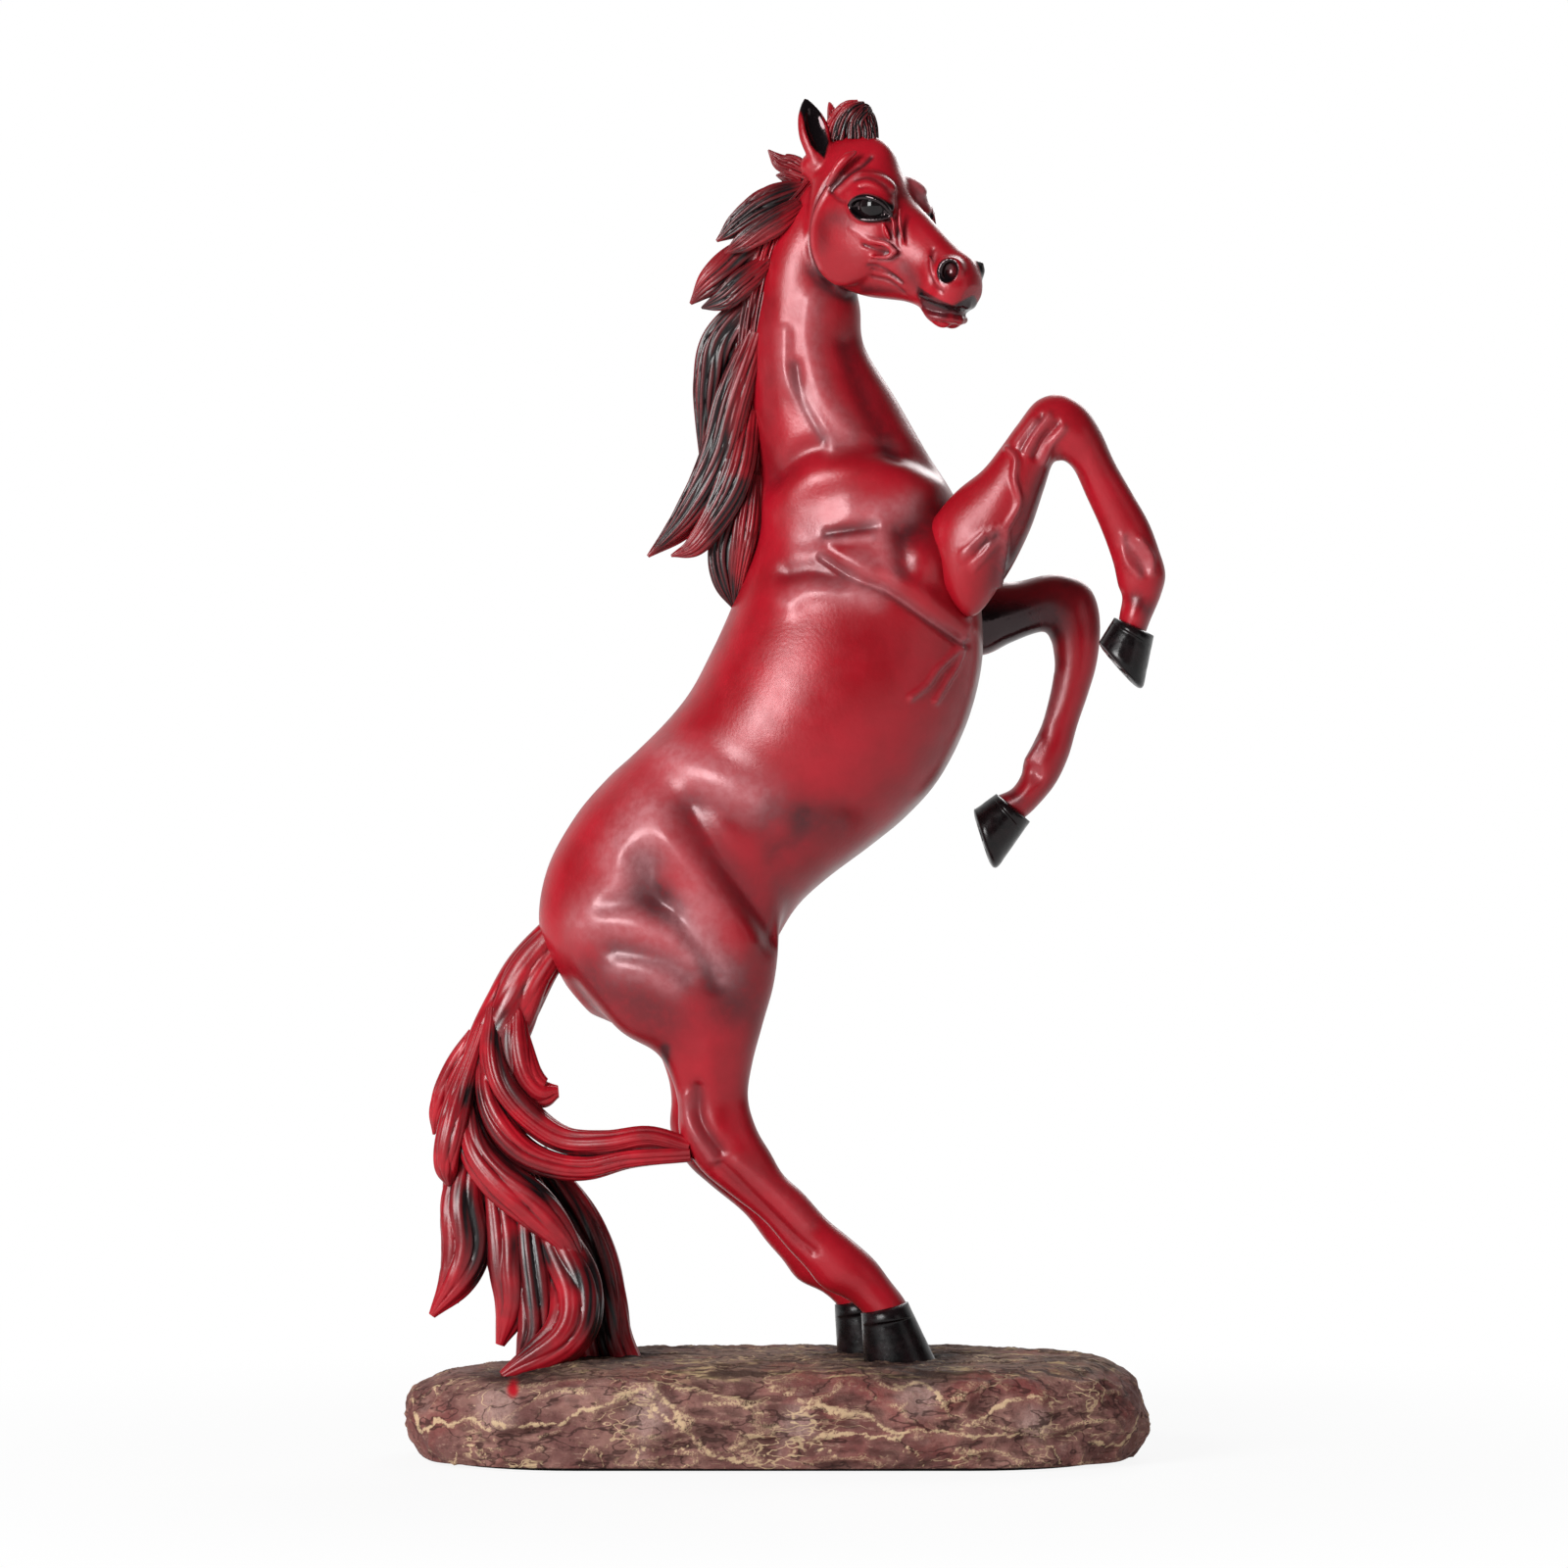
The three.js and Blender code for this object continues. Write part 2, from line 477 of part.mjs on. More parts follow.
// Forelock: a tuft that stands up between the ears and falls forward over the brow
function forelock() {
  const tufts = [
    [[[1.5, 5, -1], [-1, 9, -1], [-2.4, 12.2, 0], [-3.4, 14, 0]], 2.6],
    [[[3, 6, 0], [0.8, 11, 0], [1, 14.6, 0], [3.2, 16.6, 0]], 3.5],
    [[[6, 8, 0], [5, 12.6, 0], [6.6, 15.4, 0], [9.4, 14.8, 0.5]], 3.4],
    [[[8.5, 9.5, 0], [9.2, 12.6, 0], [11, 13.6, 0], [13.4, 11.6, 0]], 2.8],
  ];
  return union(tufts.map(([points, wide]) => {
    const curve = new THREE.CatmullRomCurve3(points.map(([u, v, w]) => atHead(u, v, w)));
    const ribs = TAPER.map((share, i) => {
      const t = i / (TAPER.length - 1);
      const centre = curve.getPoint(t);
      const across = curve.getTangent(t).cross(new THREE.Vector3(0, 0, 1)).normalize()
        .multiplyScalar(0.8 * wide * share * SCALE);
      return {
        back: centre.clone().sub(across),
        front: centre.clone().add(across),
        wide: wide * share * SCALE,
      };
    });
    return solid(onHead(loft(ribs, { sides: 6, flute: 0.14 })));
  }));
}

// Tail: it hangs from the dock to the rock, with one strand swung forward to the right hock
function tail() {
  return union([
    lock([[-49, 101, 0], [-57, 90, 0], [-65, 77, 0], [-69.5, 63, 0], [-69, 48, 0]], 7.5, 6.5),
    lock([[-66, 66, 0], [-66, 50, 0], [-60, 33, 0], [-50, 18, 0], [-43, -4, -1]], 8, 6.5, STRIP),
    lock([[-60, 87, 2], [-69, 73, 4], [-76, 61, 5], [-81, 52, 5]], 4.2),
    lock([[-66, 78, -3], [-72, 62, -5], [-75.5, 50, -6], [-78, 40, -6]], 4),
    lock([[-62, 84, -3], [-61, 74, -5], [-56, 65, -6], [-49.4, 61.4, -6]], 4.6),
    lock([[-64, 74, -3], [-61, 62, -6], [-54, 56, -7], [-51, 53, -7]], 3.4),
    lock([[-65, 84, -3], [-71.5, 66, -6], [-65.5, 46, -9], [-53, 33, -10], [-43, 16.5, -10]], 6),
    lock([[-66, 72, -2], [-63, 56, -5], [-50, 45.5, -9], [-36, 47, -12], [-19, 49.5, -13]],
      5.2, 3.8, [0.7, 1, 0.9, 0.5]),
    lock([[-70, 54, -2], [-74, 38, -4], [-74, 24, -5], [-80.3, 9.7, -6]], 6.4, 4.4),
    lock([[-66, 50, -1], [-63.5, 34, -5], [-60.5, 18, -7], [-64, 3.2, -8]], 6.6, 4.4),
    lock([[-62, 44, -3], [-50, 27, -8], [-44, 12, -12], [-52, 3, -16], [-63, -4, -20]], 7, 4.6),
    lock([[-56, 44, 2], [-45, 33, 2], [-40.5, 18, 2], [-38, 4, 1], [-33, -5, 1]], 5, 4.8, STRIP),
    lock([[-65, 70, 3], [-71, 52, 7], [-64, 35, 9], [-53, 20, 11], [-48, 10, 12]], 5.6),
    lock([[-68, 58, 3], [-73, 40, 7], [-71, 24, 9], [-75, 12, 10]], 5.4, 4.2),
    lock([[-61, 44, 4], [-53, 28, 9], [-49, 12, 12], [-53, -3, 16]], 6, 4.6),
  ]);
}

// Rock: rings of a rounded oblong from the underside up, each as [share of height, share of plan]
const ROCK_RINGS = [
  [0, 0.94], [0.16, 0.97], [0.38, 0.995], [0.58, 1], [0.78, 0.97], [0.91, 0.915],
  [1, 0.83], [1.02, 0.45],
];
// Its wall bulges and sinks in broad lumps, by a share of the plan, and carries proud ridges.
const lump = (angle, height) => 0.018 * Math.sin(5 * angle + 8 * height)
  + 0.012 * Math.sin(11 * angle - 12 * height);
const RIDGES = [
  [[5, -0.6], [20, -3.4], [31, -11.2], [34, -13.4]],
  [[39, -8], [48, -1.5], [61, -5.6]],
  [[-58, -6], [-38, -3], [-31, -2]],
  [[-63, -12], [-44, -9], [-30, -5.5], [-20, -12]],
  [[-27, -4.5], [-7, -8], [-1.5, -12.3]],
  [[-1.5, -2.3], [15, -9], [31, -14]],
].map((points) => stroke(points, 3, 1.3, BASE_HALF_LENGTH / 88));

function rock(grow = 0) {
  const sides = 50;
  const boxy = (v) => Math.sign(v) * Math.abs(v) ** 0.64;
  const points = ROCK_RINGS.flatMap(([height, share], i) => (
    Array.from({ length: sides }, (_, j) => {
      const angle = (j / sides) * 2 * Math.PI;
      const broken = share * (1 + lump(angle, height));
      const x = (BASE_HALF_LENGTH * broken + grow) * boxy(Math.cos(angle));
      const y = (BASE_HALF_DEPTH * broken + grow) * boxy(Math.sin(angle));
      const shelf = SHELF_DROP * smoothstep(-x, 0.5 * BASE_HALF_LENGTH, 0.72 * BASE_HALF_LENGTH);
      const z = BASE_HEIGHT * (height - 1) - shelf * height ** 3;
      return new THREE.Vector3(x, y, z + (i ? grow : -grow));
    })));
  const under = new THREE.Vector3(0, 0, -BASE_HEIGHT - grow);
  const crown = new THREE.Vector3(0, 0, grow);
  const wall = model(skin(points, ROCK_RINGS.length - 1, sides, under, crown), RIDGES);
  const place = wall.attributes.position;
  for (let i = 0; i < place.count; i++) place.setZ(i, Math.max(place.getZ(i), under.z));
  return solid(wall);
}

function pad() {
  const [, foot] = ROCK_RINGS[0];
  const length = BASE_HALF_LENGTH * foot - PAD_INSET;
  const radius = BASE_HALF_DEPTH * foot - PAD_INSET;
  const outline = new THREE.Shape();
  outline.absarc(length - radius, 0, radius, -Math.PI / 2, Math.PI / 2);
  outline.absarc(radius - length, 0, radius, Math.PI / 2, 1.5 * Math.PI);
  const sheet = new THREE.ExtrudeGeometry(outline, {
    depth: PAD_THICKNESS, bevelEnabled: false, curveSegments: 10,
  });
  return solid(sheet.translate(0, 0, -BASE_HEIGHT - PAD_THICKNESS));
}

// Rods and dowels, each from one point to another
const upright = (x, y) => [
  new THREE.Vector3(x * SCALE, y, -ROD_DEPTH),
  new THREE.Vector3(x * SCALE, y, ROD_RISE),
  ROD_RADIUS,
];
const dowel = (x, y, z, towards) => {
  const half = new THREE.Vector3(...towards).setLength(DOWEL_LENGTH / 2);
  const middle = new THREE.Vector3(x * SCALE, y, z * SCALE);
  return [middle.clone().sub(half), middle.add(half), DOWEL_RADIUS];
};
const RODS = {
  leg_rod_right: upright(26.5, -HALF_STANCE),
  leg_rod_left: upright(26.5 - HIND_LAG / SCALE, HALF_STANCE),
  tail_rod: upright(-44, -0.5),
  tail_dowel: dowel(-52, 0, 96, [-7, 0, -11]),
  foreleg_dowel_right: dowel(43, -HALF_SHOULDERS, 189, [10, -1.5, 4]),
  foreleg_dowel_left: dowel(43, HALF_SHOULDERS, 173.5, [10, 0.5, 1]),
};

// A round bar from a to b
function bar(a, b, radius) {
  const axis = b.clone().sub(a);
  const turn = new THREE.Quaternion()
    .setFromUnitVectors(new THREE.Vector3(0, 1, 0), axis.clone().normalize());
  const middle = a.clone().add(b).multiplyScalar(0.5);
  return solid(new THREE.CylinderGeometry(radius, radius, axis.length(), 12)
    .applyQuaternion(turn)
    .translate(middle.x, middle.y, middle.z));
}

// Cuts the named rods' bores, which are longer and wider than the rods by the clearance
function bored(made, ...names) {
  return names.reduce((left, name) => {
    const [a, b, radius] = RODS[name];
    const past = b.clone().sub(a).setLength(BORE_CLEARANCE);
    return left.subtract(bar(a.clone().sub(past), b.clone().add(past), radius + BORE_CLEARANCE));
  }, made);
}

const seat = horse(GLUE_LINE);
const ground = rock(GLUE_LINE);
const hindHoof = (corners, hand) => hoof(corners, hand * HALF_STANCE).subtract(seat)
  .subtract(ground);
const foreHoof = (corners, hand, rows) => hoof(corners, hand * HALF_SHOULDERS)
  .subtract(foreleg(hand, rows, GLUE_LINE));

const figurine = new THREE.Group();
figurine.position.z = BASE_HEIGHT + PAD_THICKNESS;
figurine.add(
  meshOf('base_pad', pad(), 'pad'),
  meshOf('rock_base', bored(rock(), 'leg_rod_right', 'leg_rod_left', 'tail_rod'), 'rock'),
  meshOf('horse_body', bored(horse(0), 'leg_rod_right', 'leg_rod_left', 'tail_dowel',
    'foreleg_dowel_right', 'foreleg_dowel_left'), 'red'),
  meshOf('eye_right', eyeball(-1), 'eye'),
  meshOf('eye_left', eyeball(1), 'eye'),
  meshOf('foreleg_right',
    bored(foreleg(-1, RIGHT_FORELEG).subtract(seat), 'foreleg_dowel_right'), 'red'),
  meshOf('foreleg_left',
    bored(foreleg(1, LEFT_FORELEG).subtract(seat), 'foreleg_dowel_left'), 'red'),
  meshOf('hoof_front_right', foreHoof(RIGHT_FORE_HOOF, -1, RIGHT_FORELEG), 'hoof'),
  meshOf('hoof_front_left', foreHoof(LEFT_FORE_HOOF, 1, LEFT_FORELEG), 'hoof'),
  meshOf('hoof_rear_right', bored(hindHoof(RIGHT_HIND_HOOF, -1), 'leg_rod_right'), 'hoof'),
  meshOf('hoof_rear_left', bored(hindHoof(LEFT_HIND_HOOF, 1), 'leg_rod_left'), 'hoof'),
  meshOf('mane', mane().subtract(seat), 'hair'),
  meshOf('forelock', forelock().subtract(seat), 'hair'),
  meshOf('tail', bored(tail().subtract(seat).subtract(ground), 'tail_rod', 'tail_dowel'), 'hair'),
  ...Object.entries(RODS).map(([name, [a, b, radius]]) => meshOf(name, bar(a, b, radius), 'steel')),
);

export default figurine;
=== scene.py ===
"""Looks of the rearing horse ornament: sculpted resin, airbrushed lacquer and a painted rock base."""
import math
from functools import partialmethod

import bmesh
import bpy
import numpy as np
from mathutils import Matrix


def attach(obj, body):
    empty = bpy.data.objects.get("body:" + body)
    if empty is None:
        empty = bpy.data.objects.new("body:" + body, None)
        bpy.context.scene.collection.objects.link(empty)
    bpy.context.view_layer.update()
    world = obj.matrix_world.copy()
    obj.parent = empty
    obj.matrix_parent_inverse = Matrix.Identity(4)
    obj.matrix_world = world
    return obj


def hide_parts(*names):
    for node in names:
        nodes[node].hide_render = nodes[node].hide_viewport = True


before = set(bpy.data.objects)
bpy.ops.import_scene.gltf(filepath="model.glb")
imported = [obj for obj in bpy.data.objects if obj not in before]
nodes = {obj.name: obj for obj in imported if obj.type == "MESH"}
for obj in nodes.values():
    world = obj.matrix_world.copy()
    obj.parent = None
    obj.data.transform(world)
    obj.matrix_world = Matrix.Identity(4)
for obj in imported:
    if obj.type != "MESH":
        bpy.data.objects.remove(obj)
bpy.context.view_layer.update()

import openvdb as vdb
from mathutils import Vector
from mathutils.kdtree import KDTree

# All shapes are drawn in millimetres with Z = 0 on the ground under the hooves
MM = 0.001
LIFT = 23.5
HEAD_YAW = math.radians(36)
HEAD_PITCH = math.radians(26.5)
EAR_LEAN = math.radians(42)
HALF_STANCE = 12.5
HALF_SHOULDERS = 13.95
HIND_LAG = 6.0


def smoothstep(x, low, high):
    t = np.clip((np.asarray(x, float) - low) / (high - low), 0, 1)
    return t * t * (3 - 2 * t)


def bend(z):
    """How far the neck's middle line leans over at height z."""
    return -4.0 * smoothstep(z, 200, 285)


POLL = np.array([11, bend(279), 279])


# Lofts

def spline(rows, count):
    """count points, evenly spread over the spans of a smooth curve through the rows."""
    rows = np.asarray(rows, float)
    ends = np.vstack([2 * rows[0] - rows[1], rows, 2 * rows[-1] - rows[-2]])
    s = np.linspace(0, len(rows) - 1, count)
    i = np.minimum(s.astype(int), len(rows) - 2)
    u = (s - i)[:, None]
    a, b, c, d = ends[i], ends[i + 1], ends[i + 2], ends[i + 3]
    start, stop = (c - a) / 2, (d - b) / 2
    return (b * (2 * u**3 - 3 * u**2 + 1) + start * (u**3 - 2 * u**2 + u)
            + c * (3 * u**2 - 2 * u**3) + stop * (u**3 - u**2))


def unit(v):
    return v / np.maximum(np.linalg.norm(v, axis=-1, keepdims=True), 1e-9)


def rib(back, front, wide, y=0.0, egg=0.0):
    return [back[0], y, back[1], front[0], y, front[1], wide, egg]


def loft(ribs, per_span=8, sides=64):
    """Closed skin over a row of ribs: points, quads and the triangles of its two ends."""
    s = spline(ribs, (len(ribs) - 1) * per_span + 1)
    centre = (s[:, 0:3] + s[:, 3:6]) / 2
    across = (s[:, 3:6] - s[:, 0:3]) / 2
    deep = np.linalg.norm(across, axis=1)[:, None]
    across = unit(across)
    side = unit(np.cross(np.gradient(centre, axis=0), across))
    angle = np.arange(sides) / sides * 2 * np.pi
    half = s[:, 6:7] * (1 + s[:, 7:8] * np.cos(angle))
    points = (centre[:, None] + across[:, None] * (deep * np.cos(angle))[..., None]
              + side[:, None] * (half * np.sin(angle))[..., None])
    return skin(points, centre[0], centre[-1])


def skin(points, first, last):
    """Joins rings of points, (rings, sides, 3), into a closed mesh."""
    rings, sides = points.shape[:2]
    i, j = np.meshgrid(np.arange(rings - 1), np.arange(sides), indexing="ij")
    k = (j + 1) % sides
    quads = np.stack([i * sides + j, i * sides + k, (i + 1) * sides + k, (i + 1) * sides + j], -1)
    j = np.arange(sides)
    k = (j + 1) % sides
    end = rings * sides
    caps = np.concatenate([
        np.stack([np.full(sides, end), k, j], -1),
        np.stack([np.full(sides, end + 1), end - sides + j, end - sides + k], -1),
    ])
    return np.vstack([points.reshape(-1, 3), first, last]), quads.reshape(-1, 4), caps


def together(meshes):
    """Several (points, quads, triangles) as one."""
    points, quads, tris, n = [], [], [], 0
    for p, q, t in meshes:
        points.append(p)
        quads.append(q + n)
        tris.append(t + n)
        n += len(p)
    return np.vstack(points), np.vstack(quads), np.vstack(tris)


# Clay: solids as distances on a lattice, whose steps are these

BODY_GRID = 0.8
HEAD_GRID = 0.32
HAIR_GRID = 0.6
FORELOCK_GRID = 0.45


def blend_min(a, b, soft):
    h = np.clip(0.5 + 0.5 * (b - a) / soft, 0, 1)
    return b + (a - b) * h - soft * h * (1 - h)


class Clay:
    """A solid kept as signed distances to its surface, in millimetres, on a lattice of points."""

    def __init__(self, low, high, pitch, band):
        self.pitch, self.band = pitch, band
        self.first = np.floor(np.array(low) / pitch).astype(int)
        size = np.ceil(np.array(high) / pitch).astype(int) - self.first + 1
        self.values = np.full(size, band, np.float32)

    def distances(self, mesh):
        points, quads, tris = mesh
        grid = vdb.FloatGrid.createLevelSetFromPolygons(
            points.astype(np.float32), triangles=tris.astype(np.uint32),
            quads=quads.astype(np.uint32),
            transform=vdb.createLinearTransform(voxelSize=self.pitch),
            halfWidth=self.band / self.pitch)
        out = np.empty(self.values.shape, np.float32)
        grid.copyToArray(out, ijk=tuple(int(n) for n in self.first))
        return out

    def add(self, mesh, soft):
        self.values = blend_min(self.values, self.distances(mesh), soft)

    def near(self, points, reach):
        """The part of the lattice within reach of the points: its slices and coordinates."""
        points = np.atleast_2d(points)
        low = np.floor((points.min(0) - reach) / self.pitch).astype(int) - self.first
        high = np.ceil((points.max(0) + reach) / self.pitch).astype(int) - self.first + 1
        low, high = np.maximum(low, 0), np.minimum(high, self.values.shape)
        at = tuple(slice(a, b) for a, b in zip(low, high))
        axes = [(np.arange(a, b) + f) * self.pitch for a, b, f in zip(low, high, self.first)]
        return at, np.stack(np.meshgrid(*axes, indexing="ij"), -1).astype(np.float32)

    def roll(self, points, radii, soft=0.6, cut=False):
        """Lays a roll of clay along the points, or with cut presses one out."""
        points = np.array(points, float)
        radii = np.broadcast_to(np.array(radii, float), len(points))
        if len(points) > 2:
            both = spline(np.column_stack([points, radii]), 4 * len(points))
            points, radii = both[:, :3], both[:, 3]
        at, place = self.near(points, radii.max() + 2 * soft + 1)
        self.press(at, to_line(place, points, radii), soft, cut)

    def lump(self, centre, radii, soft=0.6, cut=False, turn=0.0):
        """Adds or cuts an ellipsoid. turn tips it in the plane of the first and last axes."""
        radii = np.array(radii, float)
        at, place = self.near([centre], radii.max() + 2 * soft + 1)
        p = place - np.array(centre)
        c, s = math.cos(turn), math.sin(turn)
        p = np.stack([c * p[..., 0] + s * p[..., 2], p[..., 1], -s * p[..., 0] + c * p[..., 2]], -1)
        far = np.linalg.norm(p / radii, axis=-1)
        steep = np.linalg.norm(p / radii**2, axis=-1)
        self.press(at, far * (far - 1) / np.maximum(steep, 1e-6), soft, cut)

    def press(self, at, shape, soft, cut):
        shape = np.clip(shape, -self.band, self.band)
        if cut:
            self.values[at] = -blend_min(-self.values[at], shape, soft)
        else:
            self.values[at] = blend_min(self.values[at], shape, soft)

    def smooth(self, times=1):
        self.values = soften(self.values, times)

    def places(self):
        """Where every lattice point is."""
        axes = [(np.arange(n) + f) * self.pitch for n, f in zip(self.values.shape, self.first)]
        return np.stack(np.meshgrid(*axes, indexing="ij"), -1)

    def at(self, points, values=None):
        """Values between lattice points, with the band outside the lattice."""
        values = self.values if values is None else values
        p = points / self.pitch - self.first
        inside = np.all((p >= 0) & (p < np.array(values.shape) - 1.001), axis=-1)
        p = np.clip(p, 0, np.array(values.shape) - 1.001)
        i = p.astype(int)
        total = sum(share * values[j[..., 0], j[..., 1], j[..., 2]]
                    for j, share in cell_corners(i, p - i))
        return np.where(inside, total, self.band)

    def mesh(self):
        grid = vdb.FloatGrid(self.band)
        grid.copyFromArray(self.values, ijk=tuple(int(n) for n in self.first))
        grid.transform = vdb.createLinearTransform(voxelSize=self.pitch)
        points, tris, quads = grid.convertToPolygons(0, 0)
        return (points.astype(float), np.asarray(quads, int).reshape(-1, 4),
                np.asarray(tris, int).reshape(-1, 3))


def cell_corners(i, f):
    """The eight corners of each lattice cell, each with its share of a value at f in the cell."""
    for corner in range(8):
        step = np.array([corner >> 2 & 1, corner >> 1 & 1, corner & 1])
        yield i + step, np.prod(np.where(step, f, 1 - f), axis=-1)


def soften(values, times):
    for _ in range(times):
        for axis in range(3):
            v = np.moveaxis(values, axis, 0)
            v[1:-1] = (v[:-2] + 2 * v[1:-1] + v[2:]) / 4
    return values


def to_line(place, points, radii):
    """Distance to a line of round cones through the points."""
    best = None
    for a, b, ra, rb in zip(points[:-1], points[1:], radii[:-1], radii[1:]):
        d = b - a
        t = np.clip((place - a) @ d / max(d @ d, 1e-9), 0, 1)
        gap = place - a - t[..., None] * d
        one = np.sqrt(np.einsum("...i,...i", gap, gap)) - (ra + (rb - ra) * t)
        best = one if best is None else np.minimum(best, one)
    return best


# Noise

def hashed(i, seed):
    """A fixed number from 0 to 1 for each lattice point."""
    n = (i[..., 0] * 73856093) ^ (i[..., 1] * 19349663) ^ (i[..., 2] * 83492791) ^ (seed * 2654435)
    n = (n ^ (n >> 13)) * 1274126177 & 0x7FFFFFFF
    n = (n ^ (n >> 15)) * 1103515245 & 0x7FFFFFFF
    return (n >> 7 & 0xFFFF) / 65535


def noise(points, size, seed=0):
    """Smooth noise from -1 to 1 whose features are about size across."""
    p = points / size
    i = np.floor(p).astype(np.int64)
    f = p - i
    f = f * f * f * (f * (f * 6 - 15) + 10)
    return sum(share * hashed(j, seed) for j, share in cell_corners(i, f)) * 2 - 1


def rough(points, size, octaves, seed=0, gain=0.5):
    return sum(gain**n * noise(points, size / 2**n, seed + n) for n in range(octaves))


# Objects

def in_scene(name, data):
    """A new object of the data, linked to the scene."""
    made = bpy.data.objects.new(name, data)
    bpy.context.scene.collection.objects.link(made)
    return made


def mesh_data(points, quads, tris):
    """Blender's own mesh of the points and faces."""
    data = bpy.data.meshes.new("part")
    data.from_pydata(points.tolist(), [], quads.tolist() + tris.tolist())
    return data


def build(name, mesh, material, node, marks=None):
    """A finished piece from points in millimetres. marks are named values of each point."""
    points, quads, tris = outward(mesh)
    data = bpy.data.meshes.new(name)
    places = (points + np.array([0, 0, LIFT])) * MM
    data.vertices.add(len(places))
    data.vertices.foreach_set("co", places.astype(np.float32).ravel())
    loops = np.concatenate([quads.ravel(), tris.ravel()])
    data.loops.add(len(loops))
    data.loops.foreach_set("vertex_index", loops.astype(np.int32))
    starts = np.concatenate([np.arange(len(quads)) * 4, 4 * len(quads) + np.arange(len(tris)) * 3])
    data.polygons.add(len(starts))
    data.polygons.foreach_set("loop_start", starts.astype(np.int32))
    data.update(calc_edges=True)
    data.validate()
    data.polygons.foreach_set("use_smooth", np.full(len(starts), True))
    for label, values in (marks or {}).items():
        attribute = data.attributes.new(label, "FLOAT", "POINT")
        attribute.data.foreach_set("value", np.asarray(values, np.float32))
    data.materials.append(material)
    obj = in_scene(name, data)
    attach(obj, "root")
    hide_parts(node)
    return obj


def outward(mesh):
    """The mesh with its faces turned outwards."""
    points, quads, tris = mesh
    fans = np.vstack([quads[:, [0, 1, 2]], quads[:, [0, 2, 3]], tris])
    a, b, c = points[fans[:, 0]], points[fans[:, 1]], points[fans[:, 2]]
    if np.einsum("ij,ij", a, np.cross(b, c)) > 0:
        return mesh
    return points, quads[:, ::-1], tris[:, ::-1]


def normals_of(mesh):
    points, quads, tris = mesh
    out = np.zeros_like(points)
    for faces in (quads, tris):
        if len(faces):
            n = np.cross(points[faces[:, 2]] - points[faces[:, 0]],
                         points[faces[:, -1]] - points[faces[:, 1]])
            for k in range(faces.shape[1]):
                for axis in range(3):
                    out[:, axis] += np.bincount(faces[:, k], n[:, axis], len(points))
    return unit(out)


# Horse: ribs of the trunk and hind legs as [x, z] on the back line, on the front line, half width

TRUNK = [
    rib([-49, 87.5], [-43, 80.5], 4.6),
    rib([-55, 100], [-24, 74.5], 13.8),
    rib([-53.5, 114], [-6, 86], 19.5),
    rib([-47, 126.5], [0.5, 98], 22.3),
    rib([-39.5, 135.5], [5.5, 106], 23),
    rib([-32.5, 142], [12.5, 112.5], 22.5),
    rib([-25, 149.5], [22.5, 120], 23.4),
    rib([-19.5, 156.5], [31, 127], 25.5),
    rib([-15, 165], [38.5, 135.5], 26),
    rib([-11.5, 172.5], [44.5, 147], 25.5),
    rib([-8, 181], [48, 158.5], 23.8),
    rib([-4.5, 191], [49, 169], 22.5, 0, 0.08),
    rib([-3, 200], [47.5, 184], 20.2, 0, 0.12),
    rib([-3.5, 208], [43.5, 199.5], 17.5, bend(204), 0.12),
    rib([-5, 217.5], [36, 212], 14.7, bend(215), 0.1),
    rib([-6, 227.5], [28.5, 225], 12, bend(226)),
    rib([-5.5, 238], [21.2, 237], 10.3, bend(237)),
    rib([-4, 248.5], [20.2, 246], 9.8, bend(247)),
    rib([-1.5, 259], [19, 252.5], 9, bend(256)),
    rib([3, 268], [20, 259], 8.3, bend(264)),
    rib([8, 275.5], [22, 266], 6.5, bend(271)),
]


def lag(hand, z):
    """How far the left hind leg stands behind the right at height z."""
    return HIND_LAG * (1 - smoothstep(z, 0, 95)) if hand > 0 else np.zeros_like(np.asarray(z, float))


def hind_leg(hand):
    """Skin of a hind leg, in the photo's side view; the left one stands a little further back."""
    rows = [
        [[-30, 134], [-16, 133], 4, -4],
        [[-38, 122], [-6, 120], 8.6, -2.6],
        [[-46, 106], [0, 107], 10.9, -0.8],
        [[-45.5, 91.5], [1, 97.5], 11.5, 0],
        [[-37, 78], [0, 88], 10.4, 0.5],
        [[-27.5, 72], [-2.5, 79], 8.5, 0.5],
        [[-24, 66], [-5, 69.5], 6.9, 0],
        [[-22.5, 60], [-6, 61.5], 5.3, 0],
        [[-22, 52.5], [-4, 54.2], 5.7, 0],
        [[-17.5, 45], [-0.7, 48.6], 5.4, 0],
        [[-11.1, 39.5], [2.2, 43.6], 4.8, 0],
        [[-2.7, 33], [6.7, 39.5], 4.4, 0],
        [[2.9, 26.5], [12.1, 33.5], 4.6, 0],
        [[7.1, 22.1], [17.5, 29], 5.1, 0],
        [[11.1, 17.3], [23.2, 24], 5.4, 0],
        [[17, 14.5], [27, 19], 4.9, 0],
        [[21, 11], [31, 13.5], 5.2, 0],
        [[22.5, 7.5], [31.5, 9], 4.6, 0],
    ]
    ribs = [rib([bx - float(lag(hand, bz)), bz], [fx - float(lag(hand, fz)), fz], wide,
                hand * (HALF_STANCE + splay)) for (bx, bz), (fx, fz), wide, splay in rows]
    return loft(ribs, 8, 48)


# Head, in a frame of its own: u along the face, w to its left, v up from the face

TURN = np.array([
    [math.cos(HEAD_PITCH) * math.cos(HEAD_YAW), -math.cos(HEAD_PITCH) * math.sin(HEAD_YAW),
     -math.sin(HEAD_PITCH)],
    [math.sin(HEAD_YAW), math.cos(HEAD_YAW), 0],
    [math.sin(HEAD_PITCH) * math.cos(HEAD_YAW), -math.sin(HEAD_PITCH) * math.sin(HEAD_YAW),
     math.cos(HEAD_PITCH)],
])


def from_head(points):
    return points @ TURN + POLL


